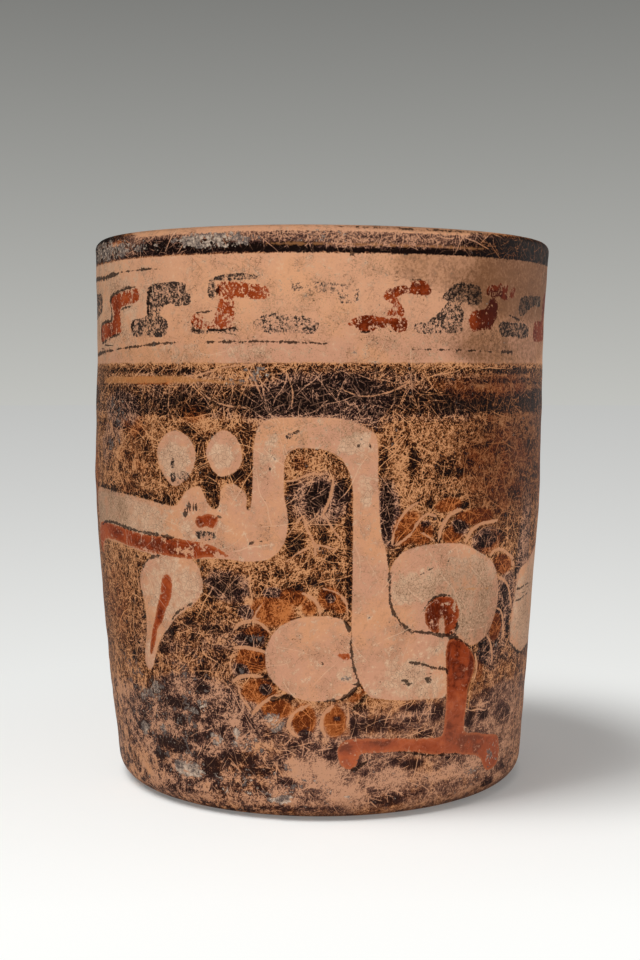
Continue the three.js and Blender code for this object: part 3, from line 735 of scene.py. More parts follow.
# For each place, its offset to the side of a straight stretch and along it, and its distance from it
def besideStretch(arc, height, start, end):
    way = (end - start) / max(np.hypot(*(end - start)), 1e-6)
    along = (arc - start[0]) * way[0] + (height - start[1]) * way[1]
    across = (height - start[1]) * way[0] - (arc - start[0]) * way[1]
    beyond = np.maximum(-along, along - np.hypot(*(end - start)))
    beyond = np.clip(beyond, 0, None)
    return across, beyond, np.hypot(across, beyond)


# How deep each point lies inside a closed outline: its distance to the nearest stretch, with a
# minus sign outside, where a level line to the right crosses the outline an even number of times
def depthInside(points, arc, height):
    line = curveThrough(points, closed=True)
    depth = np.full(arc.shape, -farOutside)
    near = nearLine(line, arc, height, farOutside)
    a, h = arc[near], height[near]
    nearest, inside = np.full(a.shape, farOutside), np.zeros(a.shape, bool)
    for start, end in zip(line, np.roll(line, -1, axis=0)):
        nearest = np.minimum(nearest, besideStretch(a, h, start, end)[2])
        if start[1] != end[1]:
            crossing = start[0] + (end[0] - start[0]) * (h - start[1]) / (end[1] - start[1])
            inside ^= ((start[1] > h) != (end[1] > h)) & (a < crossing)
    depth[near] = np.where(inside, nearest, -nearest)
    return depth


# The depth inside the nearest of several outlines, and how much of that outline's paint is left
def coveredDepth(outlines, arc, height):
    depth, cover = np.full(arc.shape, -farOutside), np.zeros(arc.shape)
    for amount, points in outlines:
        own = depthInside(points, arc, height)
        cover = np.where(own > np.maximum(depth, -rimOfOutline), amount, cover)
        depth = np.maximum(depth, own)
    return depth, cover


# Distance to the side of a place, measured round the repeat of the scene, so that nothing is cut
# off where the scene starts again
def asideFrom(arc, middle):
    return (arc - middle + sideTurn / 2) % sideTurn - sideTurn / 2


# How far out of an oval each place lies: 0 in its middle, 1 on its edge
def outOfOval(arc, height, middle, level, halfArc, halfHeight, lean=0):
    aside = asideFrom(arc, middle + lean * (height - level))
    return np.hypot(aside / halfArc, (height - level) / halfHeight)


# What is left where patches are worn: 1 less each patch's strength, multiplied together
def keptAt(worn, arc, height):
    kept = np.ones(arc.shape)
    for *oval, amount in worn:
        kept = kept * (1 - amount * (1 - rise(outOfOval(arc, height, *oval), 0.5, 1.4)))
    return kept


# The sum of soft patches
def shadeAt(patches, arc, height):
    shade = np.zeros(arc.shape)
    for *oval, amount in patches:
        shade = shade + amount * (1 - rise(outOfOval(arc, height, *oval), 0.4, 1.5))
    return shade


# The cover of a layer: its soft-edged bands, then the greatest of its patches, less what is worn
def coverAt(layer, arc, height):
    cover = np.zeros(arc.shape)
    for low, high, soft, amount in layer.get("bands", ()):
        within = rise(height, low - soft, low + soft) * rise(-height, -high - soft, -high + soft)
        cover = np.maximum(cover, within * amount)
    for middle, level, halfArc, halfHeight, amount, *lean in layer["patches"]:
        away = outOfOval(arc, height, middle, level, halfArc, halfHeight, *lean)
        cover = np.maximum(cover, amount * (1 - rise(away, 0.6, 1.4)))
    return cover * keptAt(layer.get("worn", ()), arc, height)


# Strokes: the offset to the side of the nearest one, and that stroke's half width there, which
# narrows to nothing past its ends and far to its sides
def strokesAt(strokes, arc, height):
    reach = strokeShape["reach"]
    across, width = np.full(arc.shape, reach), np.full(arc.shape, -reach)
    nearest = np.full(arc.shape, reach)
    for halfWidth, points in strokes:
        line = curveThrough(points, closed=False)
        near = nearLine(line, arc, height, reach)
        a, h = arc[near], height[near]
        best, bestAcross, bestWidth = nearest[near], across[near], width[near]
        last = len(line) - 2
        for number, (start, end) in enumerate(zip(line[:-1], line[1:])):
            side, beyond, distance = besideStretch(a, h, start, end)
            share = strokeShape["tip"] + strokeShape["widening"] * min(number, last - number)
            narrowed = halfWidth * min(1, share) - strokeShape["pastEnd"] * beyond
            narrowed = narrowed - np.clip(distance - strokeShape["aside"], 0, None)
            closer = distance < best
            best = np.where(closer, distance, best)
            bestAcross = np.where(closer, side, bestAcross)
            bestWidth = np.where(closer, narrowed, bestWidth)
        nearest[near], across[near], width[near] = best, bestAcross, bestWidth
    return across, width


# Every paint layer at the given places on the outer face. The other side is not quite a copy of this
# one: its painting is shifted up and down by a slow wave between the foot and the stepped marks
def paintingAt(arc, height):
    secondSide = np.abs((arc + turn / 2) % turn - turn / 2) > sideTurn / 2
    local = asideFrom(arc, 0)
    between = rise(height, 6, 30) * rise(-height, -158, -134)
    shift = sideShift * np.sin(4 * math.pi * local / sideTurn) * between
    level = height + np.where(secondSide, shift, 0)
    layers = {}
    layers["cream"] = np.max([depthInside(points, local, level) for points in cream.values()], axis=0)
    layers["red"], layers["redCover"] = coveredDepth(red, local, level)
    layers["redCover"] = layers["redCover"] * keptAt(redWear, local, level)
    layers["redShade"] = shadeAt(redShade, local, level)
    layers["mark"], layers["markCover"] = coveredDepth(blackMarks, local, level)
    for name, strokes in strokeLayers.items():
        layers[name + "Across"], layers[name + "Width"] = strokesAt(strokes, local, level)
    for name, layer in softLayers.items():
        layers[name] = coverAt(layer, local, level)
    return layers


# Meshes

grids = {
    "columns": 500,
    "frontCrowding": 0.35,  # columns stand this share closer together in front, and wider behind
    "outerRows": 168,
    "innerRows": 12,
    "lipRows": 7,
    "heelRows": 9,
    "heelWallRows": 9,
    "underRows": 10,
    "filletRows": 6,
    "floorRows": 10,
}
turnShare = np.arange(grids["columns"]) / grids["columns"] * 2 * math.pi - math.pi
angles = turnShare - grids["frontCrowding"] * np.sin(turnShare)


# The wall's section, one row of columns for each point: up the outside, over the lip, down the
# inside. The last value says where a row is: 0 outside, 1 inside, between them over the lip
def wallSection():
    up = np.linspace(form["seam"], lipStart, grids["outerRows"] + 1)
    rounded = roundShares(grids["lipRows"])
    over = crest - rounded[::-1][1:] * lipRound
    back = crest - rounded[1:-1] * lipRound
    down = np.linspace(lipStart, form["seam"], grids["innerRows"] + 1)
    heights = np.concatenate([up, over, back, down])
    outside = outerRadius(over) - keptBack(lipRound, rounded[::-1][1:])
    inside = innerRadius(back) + keptBack(lipRound, rounded[1:-1])
    radii = np.concatenate([outerRadius(up), outside, inside, innerRadius(down)])
    kinds = [np.zeros(len(up)), np.linspace(0, 0.5, len(over))]
    kinds += [np.linspace(0.5, 1, len(back)), np.ones(len(down))]
    return radii, heights, np.concatenate(kinds)


# The dish's section: from the middle of the underside out to the heel, up to the seam, and inside
# from the seam down the fillet to the middle of the floor
def dishSection():
    under = np.linspace(0, 1, grids["underRows"] + 1)[1:-1] * (outerRadius(0) - form["heelRound"])
    heel = roundShares(grids["heelRows"])
    heelHeights = heel * form["heelRound"]
    side = np.linspace(form["heelRound"], form["seam"], grids["heelWallRows"] + 1)[1:]
    fillet = roundShares(grids["filletRows"])[::-1]
    filletHeights = form["floorThickness"] + fillet * form["floorFillet"]
    filletRadii = innerRadius(filletHeights) - keptBack(form["floorFillet"], fillet)
    floorRadii = np.linspace(filletRadii[-1], 0, grids["floorRows"] + 1)[1:-1]
    radii = [under, outerRadius(heelHeights) - keptBack(form["heelRound"], heel), outerRadius(side)]
    heights = [np.zeros(len(under)), heelHeights, side]
    kinds = [np.full(len(under), -1.0), np.linspace(-1, 0, len(heel)), np.zeros(len(side))]
    radii += [[innerRadius(form["seam"])], filletRadii, floorRadii]
    heights += [[form["seam"]], filletHeights, np.full(len(floorRadii), form["floorThickness"])]
    kinds += [[1.0], np.ones(len(filletRadii)), np.ones(len(floorRadii))]
    return np.concatenate(radii), np.concatenate(heights), np.concatenate(kinds)


# The small departures that the hand, use and burial left, outwards from the plain form: slow and
# short swells outside, wiped ridges inside, nicks on the lip, and the crust's own thickness. The
# ridges are a sine of the height whose phase drifts, and the rest are rough fields
def surfaceRise(points, kinds, heights, crustCover):
    outside = rise(-np.abs(kinds), -0.5, 0)
    inside = rise(kinds, 0.6, 1)
    onLip = rise(-np.abs(kinds - 0.5), -0.45, -0.05)
    awayFromSeam = rise(np.abs(heights - form["seam"]), 0, 3) * inside + (1 - inside)
    slow = form["slowSwell"] * roughness(points, form["slowSize"], seed=1)
    short = form["shortSwell"] * roughness(points, form["shortSize"], seed=2)
    drift = 0.9 * roughness(points, form["ridgeDrift"], seed=3)
    ridges = form["wipeRidge"] * np.sin(points[..., 2] / form["ridgeSpacing"] + drift)
    nicks = form["lipNicks"] * np.clip(roughness(points, form["nickSize"], seed=4) - 1.0, 0, 1.2)
    grains = np.clip(0.5 + roughness(points, form["crustGrain"], seed=7), 0, 2)
    crusty = form["crustRise"] * crustCover * grains
    offset = outside * (slow + short + crusty) + inside * ridges * awayFromSeam - onLip * nicks
    return offset + onLip * slow * 0.5


# Lays a section round the axis and gives each vertex its place and its paint
def turnedSurface(section):
    radii, heights, kinds = section
    radius, angle = np.meshgrid(radii, angles, indexing="ij")
    height = np.meshgrid(heights, angles, indexing="ij")[0]
    kind = np.meshgrid(kinds, angles, indexing="ij")[0]
    plain = np.stack([radius * np.sin(angle), -radius * np.cos(angle), height], axis=-1)
    arc = angle * form["bodyRadius"]
    layers = paintingAt(arc, height)
    layers["kind"] = kind
    offset = surfaceRise(plain, kind, height, layers["crust"])
    footing = rise(height, 0, 2.5)  # nothing moves where the vessel rests
    sideways = np.where(kind > 0.5, -1, 1) * offset * footing
    places = handBuilt(radius + sideways * (kind >= 0), angle, height)
    return places * mm, layers


# Quads between neighbouring rows and columns. A section closes on itself, or ends in two poles,
# the first at the start of the section and the second at its end, which get rings of triangles
def gridFaces(rows, columns, closed):
    number = np.arange(rows * columns).reshape(rows, columns)
    nextColumn = np.roll(number, -1, axis=1)
    last = rows if closed else rows - 1
    here, there = number[:last], np.roll(number, -1, axis=0)[:last]
    hereNext, thereNext = nextColumn[:last], np.roll(nextColumn, -1, axis=0)[:last]
    quads = np.stack([here, hereNext, thereNext, there], axis=-1).reshape(-1, 4)
    if closed:
        return quads, np.zeros((0, 3), int)
    first, second = rows * columns, rows * columns + 1
    start = np.stack([nextColumn[0], number[0], np.full(columns, first)], axis=-1)
    end = np.stack([number[-1], nextColumn[-1], np.full(columns, second)], axis=-1)
    return quads, np.vstack([start, end])


# Makes a piece from its section. Each paint layer becomes an attribute that the finish reads
def makePiece(name, section, closed, poleHeights=()):
    places, layers = turnedSurface(section)
    rows, columns = places.shape[:2]
    quads, triangles = gridFaces(rows, columns, closed)
    vertices = places.reshape(-1, 3)
    if not closed:
        vertices = np.vstack([vertices, [(0, 0, height * mm) for height in poleHeights]])
    mesh = bpy.data.meshes.new(name)
    corners = np.concatenate([quads.ravel(), triangles.ravel()]).astype(np.int32)
    triangleStarts = len(quads) * 4 + np.arange(len(triangles)) * 3
    starts = np.concatenate([np.arange(len(quads)) * 4, triangleStarts])
    mesh.vertices.add(len(vertices))
    mesh.vertices.foreach_set("co", vertices.astype(np.float32).ravel())
    mesh.loops.add(len(corners))
    mesh.loops.foreach_set("vertex_index", corners)
    mesh.polygons.add(len(starts))
    mesh.polygons.foreach_set("loop_start", starts.astype(np.int32))
    mesh.update(calc_edges=True)
    mesh.polygons.foreach_set("use_smooth", np.ones(len(starts), bool))
    markSeam(mesh, section, columns)
    for layer, values in layers.items():
        flat = values.ravel()
        if not closed:
            flat = np.concatenate([flat, [values[0].mean(), values[-1].mean()]])
        attribute = mesh.attributes.new(layer, "FLOAT", "POINT")
        attribute.data.foreach_set("value", flat.astype(np.float32))
    piece = bpy.data.objects.new(name, mesh)
    bpy.context.scene.collection.objects.link(piece)
    print("made", name, "with", len(quads) * 2 + len(triangles), "triangles")
    return piece


# The seam's two rings stay sharp, so that each side is shaded as the unbroken face it belongs to
def markSeam(mesh, section, columns):
    onSeam = np.isclose(section[1], form["seam"])
    ringOf = np.full(len(mesh.vertices), -1)
    ringOf[: len(onSeam) * columns] = np.repeat(np.where(onSeam, np.arange(len(onSeam)), -1), columns)
    ends = np.zeros(len(mesh.edges) * 2, np.int32)
    mesh.edges.foreach_get("vertices", ends)
    first, second = ringOf[ends.reshape(-1, 2)].T
    sharp = mesh.attributes.new("sharp_edge", "BOOLEAN", "EDGE")
    sharp.data.foreach_set("value", (first >= 0) & (first == second))


paintedWall = makePiece("painted_wall", wallSection(), closed=True)
poles = (0, form["floorThickness"])
paintedBase = makePiece("painted_base", dishSection(), closed=False, poleHeights=poles)
for piece, node, slot in (
    (paintedWall, "wall", "painted_slip"),
    (paintedBase, "base_dish", "base_clay"),
):
    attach(piece, "root")
    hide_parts(node)


# Finish

# One output of a material's nodes. Sums written on it add Math nodes.
class Value:
    def __init__(self, recipe, socket):
        self.recipe, self.socket = recipe, socket

    def __add__(self, other):
        return self.recipe.math("ADD", self, other)

    def __sub__(self, other):
        return self.recipe.math("SUBTRACT", self, other)

    def __rsub__(self, other):
        return self.recipe.math("SUBTRACT", other, self)

    def __mul__(self, other):
        return self.recipe.math("MULTIPLY", self, other)

    def __truediv__(self, other):
        return self.recipe.math("DIVIDE", self, other)

    def __rtruediv__(self, other):
        return self.recipe.math("DIVIDE", other, self)

    __radd__ = __add__
    __rmul__ = __mul__

    # Another output of the same node
    def also(self, output):
        return Value(self.recipe, self.socket.node.outputs[output])


# A material's node tree, filled by one call for each node
class Recipe:
    def __init__(self, tree):
        self.tree = tree
        tree.nodes.clear()

    # Adds a node: its type, its settings, the values or links of its sockets, and the output used
    def node(self, kind, settings=None, inputs=None, output=0):
        node = self.tree.nodes.new(kind)
        for name, setting in (settings or {}).items():
            setattr(node, name, setting)
        for name, value in (inputs or {}).items():
            if isinstance(value, Value):
                self.tree.links.new(value.socket, node.inputs[name])
            else:
                node.inputs[name].default_value = value
        return Value(self, node.outputs[output]) if node.outputs else node

    # Math and Vector Math nodes, with their values in order
    def math(self, operation, *values):
        return self.node("ShaderNodeMath", {"operation": operation}, dict(enumerate(values)))

    def vector(self, operation, *values, output=0):
        inputs = dict(enumerate(values))
        return self.node("ShaderNodeVectorMath", {"operation": operation}, inputs, output)

    def scaled(self, vector, amount):
        return self.node("ShaderNodeVectorMath", {"operation": "SCALE"}, {0: vector, "Scale": amount})

    def dot(self, vector, other):
        return self.vector("DOT_PRODUCT", vector, other, output="Value")

    # The greatest of several values
    def most(self, *values):
        greatest, *others = values
        for value in others:
            greatest = self.math("MAXIMUM", greatest, value)
        return greatest

    def rise(self, value, low, high):
        inputs = {"Value": value, "From Min": low, "From Max": high}
        return self.node("ShaderNodeMapRange", {"interpolation_type": "SMOOTHSTEP"}, inputs)

    def layer(self, name):
        return self.node("ShaderNodeAttribute", {"attribute_name": name}, output="Fac")

    # Noise about nothing, mostly within a tenth either way
    def noise(self, place, size, detail=2.0, roughness=0.55):
        inputs = {"Vector": place, "Scale": 1 / size, "Detail": detail, "Roughness": roughness}
        return self.node("ShaderNodeTexNoise", {}, inputs) - 0.5

    # Lays a colour over another, as thickly as the mask says. A Mix node has its sockets once for
    # each kind of data, so the factor and the two colours are found by place
    def over(self, under, colour, mask):
        inputs = {0: mask, 6: under, 7: colour}
        return self.node("ShaderNodeMix", {"data_type": "RGBA"}, inputs, "Result")

    # Darkens by a colour, as a thin transparent coat of it would
    def glazed(self, under, colour, mask):
        settings = {"data_type": "RGBA", "blend_type": "MULTIPLY"}
        return self.node("ShaderNodeMix", settings, {0: mask, 6: under, 7: colour}, "Result")


# A colour as a picture program shows it, for a node's socket
def paint(red, green, blue):
    shares = np.array([red, green, blue]) / 255
    linear = np.where(shares <= 0.04045, shares / 12.92, ((shares + 0.055) / 1.055) ** 2.4)
    return (*linear.tolist(), 1.0)


colours = {
    "slip": paint(202, 147, 117),
    "slipWarm": paint(209, 150, 111),
    "slipLight": paint(226, 168, 127),
    "slipDull": paint(186, 136, 106),
    "pale": paint(205, 162, 131),
    "paleLight": paint(229, 192, 159),
    "fleck": paint(128, 88, 64),
    "dust": paint(132, 102, 72),
    "stain": paint(99, 61, 35),
    "black": paint(14, 4, 2),
    "blackWorn": paint(34, 16, 10),
    "red": paint(142, 55, 20),
    "redBright": paint(172, 77, 34),
    "redEdge": paint(184, 100, 56),
    "redDeep": paint(94, 28, 4),
    "redWorn": paint(176, 116, 92),
    "markGrey": paint(124, 98, 82),
    "markBlack": paint(36, 26, 23),
    "paintStainShadeTint": paint(140, 118, 84),
    "groundStainShadeTint": paint(166, 124, 60),
    "scratch": paint(200, 142, 104),
    "gold": paint(190, 128, 78),
    "crustDark": paint(98, 86, 81),
    "crust": paint(168, 147, 131),
    "crustPale": paint(214, 190, 168),
    "inside": paint(176, 128, 92),
    "insideDark": paint(112, 78, 56),
    "clay": paint(150, 100, 66),
}

# The ground from worn through to nearly black, as it is mostly, where it is orange and where it is cool
groundTones = {
    "tan": (paint(204, 145, 100), paint(188, 112, 60), paint(194, 143, 112)),
    "brown": (paint(136, 80, 43), paint(138, 69, 29), paint(112, 76, 61)),
    "deep": (paint(75, 38, 17), paint(90, 37, 11), paint(66, 42, 37)),
}

wallFinish = {
    "grain": 0.4,  # sizes of the noises, from fine to broad
    "fine": 0.8,
    "middle": 2.4,
    "patchy": 6.5,
    "broad": 18,
    "streaks": 1.2,
    "streakLength": 4.55,  # how much longer round the vessel than tall
    "wipeMarks": 2.2,  # and the same of the wiping inside
    "wipeLength": 8.33,
    "wander": 4.0,  # how far the root marks bend off their arcs
    # Root marks in three sizes, each kind as cell size, seed and half width
    "hairs": [(1.8, 1, 0.1), (2.2, 2, 0.1), (2.7, 3, 0.11)],
    "scratches": [(3.3, 4, 0.115), (4.1, 5, 0.12), (5.0, 6, 0.125), (6.0, 7, 0.13)],
    "strokes": [(8.0, 8, 0.135), (10.5, 9, 0.145), (14.0, 10, 0.16)],
    "crackleSize": 1.4,
    "crackle": 0.5,  # strengths of the coats, up to 1
    "fleck": 0.28,
    "dust": 0.56,
    "stain": 0.9,
    "blackSpecks": 0.6,
    "slipStrokes": 0.85,
    "goldStrokes": 0.76,
    "inkStrokes": 0.88,
    "markGrey": 0.7,
    "markBlack": 0.94,
    "crust": 0.86,
    "roughness": 0.56,
    "specular": 0.04,
    "bumpStrength": 0.6,
    "bumpDepth": 0.12,
}


# Fine curved root marks on the unrolled wall: in each cell of a Voronoi pattern one arc that turns
# any way, tapered towards both of its ends. More of the cells show theirs where the density is high
def rootLines(r, chart, density, size, seed, halfWidth):
    shifted = r.vector("ADD", chart, (seed * 37.0, seed * 11.0, 0))
    settings = {"voronoi_dimensions": "2D", "feature": "F1"}
    centre = r.node("ShaderNodeTexVoronoi", settings, {"Vector": shifted, "Scale": 1 / size}, "Position")
    pick = r.node("ShaderNodeSeparateColor", {}, {"Color": centre.also("Color")}, "Red")
    chance, rank = pick.also("Green"), pick.also("Blue")
    sideways = r.node("ShaderNodeSeparateXYZ", {}, {"Vector": r.vector("SUBTRACT", shifted, centre)}, "X")
    upwards = sideways.also("Y")
    angle = pick * (2 * math.pi)
    cosine, sine = r.math("COSINE", angle), r.math("SINE", angle)
    along = sideways * cosine + upwards * sine
    across = upwards * cosine - sideways * sine + along * along * ((chance - 0.5) * (0.26 / size))
    share = along / size
    width = (1 - share * share) * halfWidth * (chance * 0.8 + 0.55)
    shown = r.rise(density - rank, -0.04, 0.08) * (rank * -0.4 + 1)
    return r.rise(width - r.math("ABSOLUTE", across), -0.03, 0.07) * shown


# A web of fine fibres that mostly run one way, given in degrees from level: where a noise that is
# stretched along them is close to its middle value
def fibres(r, chart, bearing, length, spacing):
    inputs = {"Vector": chart, "Rotation": (0, 0, math.radians(bearing)), "Scale": (length, spacing, 1.0)}
    stretched = r.node("ShaderNodeMapping", {"vector_type": "TEXTURE"}, inputs)
    return r.rise(r.math("ABSOLUTE", r.noise(stretched, 1.0, detail=1)), 0.03, 0.0)


# A noise drawn out round the vessel, as brush and cloth leave it
def drawnOut(r, place, size, length):
    level = 1 / length
    return r.noise(r.vector("MULTIPLY", place, (level, level, 1.0)), size, detail=3)


# What the coats go by: places in millimetres, the unrolled wall, and noises from fine to broad. Each
# coat after this adds to w what later ones go by too. In the sums below, the factors are each
# noise's weight, and the two numbers of a rise are where a coat begins and where it is full
def readWall(r):
    w = SimpleNamespace()
    w.place = r.scaled(r.node("ShaderNodeTexCoord", output="Object"), 1 / mm)
    w.height = r.node("ShaderNodeSeparateXYZ", {}, {"Vector": w.place}, "Z")
    bearing = r.math("ARCTAN2", r.dot(w.place, (1.0, 0, 0)), r.dot(w.place, (0, -1.0, 0)))
    w.around = bearing * form["bodyRadius"]
    w.chart = r.node("ShaderNodeCombineXYZ", {}, {0: w.around, 1: w.height})
    drift = r.node("ShaderNodeTexNoise", {}, {"Vector": w.chart, "Scale": 0.1, "Detail": 1.0}, "Color")
    bend = r.scaled(r.vector("SUBTRACT", drift, (0.5, 0.5, 0.5)), wallFinish["wander"])
    w.bent = r.vector("ADD", w.chart, bend)
    w.grain = r.noise(w.place, wallFinish["grain"], detail=1)
    w.fine = r.noise(w.place, wallFinish["fine"], detail=4, roughness=0.65)
    w.middle = r.noise(w.place, wallFinish["middle"], detail=3)
    w.patchy = r.noise(w.place, wallFinish["patchy"], detail=2)
    w.broad = r.noise(w.place, wallFinish["broad"], detail=2)
    w.streaks = drawnOut(r, w.place, wallFinish["streaks"], wallFinish["streakLength"])
    return w


# Root marks in three sizes, and the webs of fibres between them
def rootWork(r, w):
    roots = r.layer("roots")
    cut = []
    for name, share, least in (("hairs", 0.8, 0.15), ("scratches", 0.8, 0.05), ("strokes", 0.75, 0.0)):
        density = roots * share + least + w.patchy * 1.6
        cut.append(r.most(*(rootLines(r, w.bent, density, *kind) for kind in wallFinish[name])))
    w.hairs, w.scratches, w.strokes = cut
    w.paleWeb = r.most(fibres(r, w.chart, 25, 5.5, 1.5), fibres(r, w.chart, 78, 5.0, 1.3))
    w.darkWeb = r.most(fibres(r, w.chart, 52, 3.5, 1.4), fibres(r, w.chart, -12, 4.5, 1.5))


# Orange buff slip, in places paler or duller, crackled, with fine specks, dust, and brown stains that are
# partly painted shade
def bareSlip(r, w):
    w.cream = r.layer("cream")
    pale = r.layer("pale")
    mottle = w.middle * 0.8 + w.fine
    bare = r.over(colours["slip"], colours["slipWarm"], r.rise(w.broad + w.fine * 0.5, -0.12, 0.16))
    bare = r.over(bare, colours["slipLight"], r.rise(w.height, 134, 152) * 0.46)
    w.aloft = r.rise(w.height, 131, 134)
    dull = r.rise(w.patchy + w.middle * 1.4 + w.fine * 0.8, -0.06, 0.2)
    bare = r.over(bare, colours["slipDull"], dull * (0.8 - w.aloft * 0.46))
    inner = r.rise(w.cream, 0.5, 2.2) + w.aloft
    paler = r.rise(pale * 0.9 + w.middle * 1.6 + w.patchy * 1.2 + w.fine * 1.1, 0.3, 0.8)
    paler = paler * r.math("MINIMUM", inner + 0.2, 1.0) * (1 - w.aloft * 0.3)
    bare = r.over(bare, colours["pale"], paler)
    lighter = r.rise(pale * 0.06 + mottle + w.paleWeb * 0.05, 0.07, 0.27)
    bare = r.over(bare, colours["paleLight"], lighter * (0.6 - w.aloft * 0.2))
    specks = r.rise(mottle, -0.05, -0.3)
    bare = r.over(bare, colours["fleck"], specks * (wallFinish["fleck"] - w.aloft * 0.08))
    thin = r.most(w.hairs * 0.7, w.scratches, w.darkWeb * 0.6) * r.rise(w.patchy + w.fine, -0.12, 0.16)
    bare = r.over(bare, colours["fleck"], thin * (0.4 + w.aloft * 0.2))
    edge = {"Vector": w.bent, "Scale": 1 / wallFinish["crackleSize"]}
    settings = {"voronoi_dimensions": "2D", "feature": "DISTANCE_TO_EDGE"}
    crackle = r.node("ShaderNodeTexVoronoi", settings, edge, "Distance")
    crackled = r.rise(crackle, 0.08, 0.02) * r.rise(pale + w.patchy * 2.4 + w.middle, 0.4, 1.0)
    bare = r.over(bare, colours["fleck"], crackled * wallFinish["crackle"])
    dusty = r.rise(r.layer("dust") + w.fine * 2.0 + w.grain * 1.6 + w.patchy, 0.35, 1.15)
    bare = r.over(bare, colours["dust"], dusty * (wallFinish["dust"] - w.aloft * 0.14))
    # The brown stain, which is partly painted shade towards the side edges of the front view and over its
    # right side
    w.stain = r.rise(r.layer("stain") + w.broad * 0.3 + w.middle * 0.6 + w.fine * 1.0, 0.1, 1.15)
    bare = r.over(bare, colours["stain"], w.stain * wallFinish["stain"])
    specks = r.rise(w.grain + w.fine + w.patchy * 0.8, 0.33, 0.4)
    return r.over(bare, colours["blackWorn"], specks * wallFinish["blackSpecks"])


# Where the dark ground lies: off the pale figures, below the buff field and on the rim band
def groundPlace(r, w, dark):
    figure = r.rise(w.cream + w.fine * 1.2 + w.middle * 0.5, -0.16, 0.16)
    level = w.height + w.fine * 0.5 + w.grain * 0.8
    inRim = r.rise(level, 162.9, 163.2) * r.rise(level, 171.6, 171.2)
    w.inRim = inRim * r.rise(dark + w.fine * 0.6, 0.1, 0.24)
    return (r.rise(level + w.middle * 1.2, 133.0, 132.4) + w.inRim) * (1 - figure)


# How dark the ground is, from worn through at 0 to black at 1: its layer, broken up by noises whose
# weights change from the black band to the foot, less what the roots have cut away
def groundTone(r, w, dark, orange, banded):
    # Over the right half of the front view and round behind it, the ground is made darker: partly its own
    # browning, partly painted shade on that side
    aside = r.rise(w.around, 25, 55)
    lowRight = w.low * r.rise(w.around, -34, 10)
    calm = 1 - w.stain * 0.2 - w.inRim * 0.5 - lowRight * 0.4 - orange * 0.24 + banded * 0.2
    uneven = w.fine * (2.1 - w.low * 0.4 - lowRight * 0.5) + w.grain
    uneven = uneven + w.middle * (1.3 + w.low - lowRight * 1.2 - banded * 0.3)
    uneven = uneven + w.patchy * (1.0 + w.low * 0.9 - lowRight * 0.6 - banded * 0.4)
    uneven = uneven + w.streaks * (0.3 + w.foot * 0.8 + aside * 0.8)
    uneven = uneven + w.darkWeb * 0.25 - w.paleWeb * 0.3
    w.scored = r.most(w.hairs * 0.52, w.scratches * 0.74, w.strokes * 0.92)
    tone = dark + 0.06 + aside * 0.05 - w.low * 0.01 - lowRight * 0.09 + w.stain * 0.06
    return tone + uneven * calm - w.scored


# The dark ground, from tan where it is worn through to black, with orange and violet places
def darkGroundOver(r, w, painted):
    dark = r.layer("dark")
    w.openGround = groundPlace(r, w, dark)
    w.low, w.foot = r.rise(w.height, 48, 30), r.rise(w.height, 24, 10)
    banded = r.rise(w.height, 114, 118)
    violet = r.layer("purple")
    orange = r.layer("orange") + w.patchy + w.fine * 0.6 - r.rise(violet, 0.9, 1.2)
    orange = r.rise(orange, 0.2, 0.8)
    tone = groundTone(r, w, dark, orange, banded)
    w.cool = r.rise(violet + w.broad + w.middle * 0.8, 0.2, 0.8)
    shades = {}
    for name, (usual, warm, grey) in groundTones.items():
        shades[name] = r.over(r.over(usual, grey, w.cool), warm, orange)
    ground = r.over(shades["tan"], colours["stain"], w.stain * 0.55)
    ground = r.over(ground, shades["brown"], r.rise(tone, 0.02, 0.4))
    ground = r.over(ground, shades["deep"], r.rise(tone, 0.36, 0.64))
    greyed = r.rise(w.middle + w.grain * 1.2, -0.1, 0.3) * (1 - banded * 0.6)
    w.black = r.over(colours["black"], colours["blackWorn"], greyed)
    blackFrom = orange * 0.24 + 0.6
    blackened = r.rise(tone, blackFrom, blackFrom + 0.26) * (1 - w.low * 0.32)
    ground = r.over(ground, w.black, blackened)
    bared = w.scored * r.rise(tone + w.scored, 0.5, 0.9) * (0.36 - banded * 0.04 - w.stain * 0.16)
    ground = r.over(ground, shades["tan"], bared)
    # A brown tint that darkens the ground where it is stained and where shade is painted
    ground = r.glazed(ground, colours["groundStainShadeTint"], w.stain * 0.46)
    return r.over(painted, ground, w.openGround)


# Where a kind of stroke lies, its edges roughened by noise
def strokeMask(r, name, rough, low, high):
    inside = r.layer(name + "Width") + rough - r.math("ABSOLUTE", r.layer(name + "Across"))
    return r.rise(inside, low, high)


# Strokes of slip and ochre in the ground
def strokesOver(r, w, painted):
    slip = strokeMask(r, "slip", w.fine * 1.1 + w.middle * 1.1, -0.08, 0.12) * w.openGround
    painted = r.over(painted, colours["scratch"], slip * wallFinish["slipStrokes"])
    gold = strokeMask(r, "gold", w.fine * 1.8 + w.middle * 2.2, -0.3, 0.3)
    gold = gold * (wallFinish["goldStrokes"] - w.scored * 0.6 - w.inRim * 0.3)
    return r.over(painted, colours["gold"], gold)


# Black stepped marks, greyed by wear and darker along their borders
def marksOver(r, w, painted):
    depth = r.layer("mark")
    tone = r.layer("markCover") + w.fine * 3.2 + w.middle * 1.8 + w.grain * 0.8 - w.scored * 0.3
    w.inMark = r.rise(depth + w.fine * 1.4 + w.middle * 0.8, -0.14, 0.16)
    grey = w.inMark * r.rise(tone, 0.3, 0.6) * wallFinish["markGrey"]
    painted = r.over(painted, colours["markGrey"], grey)
    black = w.inMark * r.rise(tone, 0.7, 0.84) * wallFinish["markBlack"]
    return r.over(painted, colours["markBlack"], black)


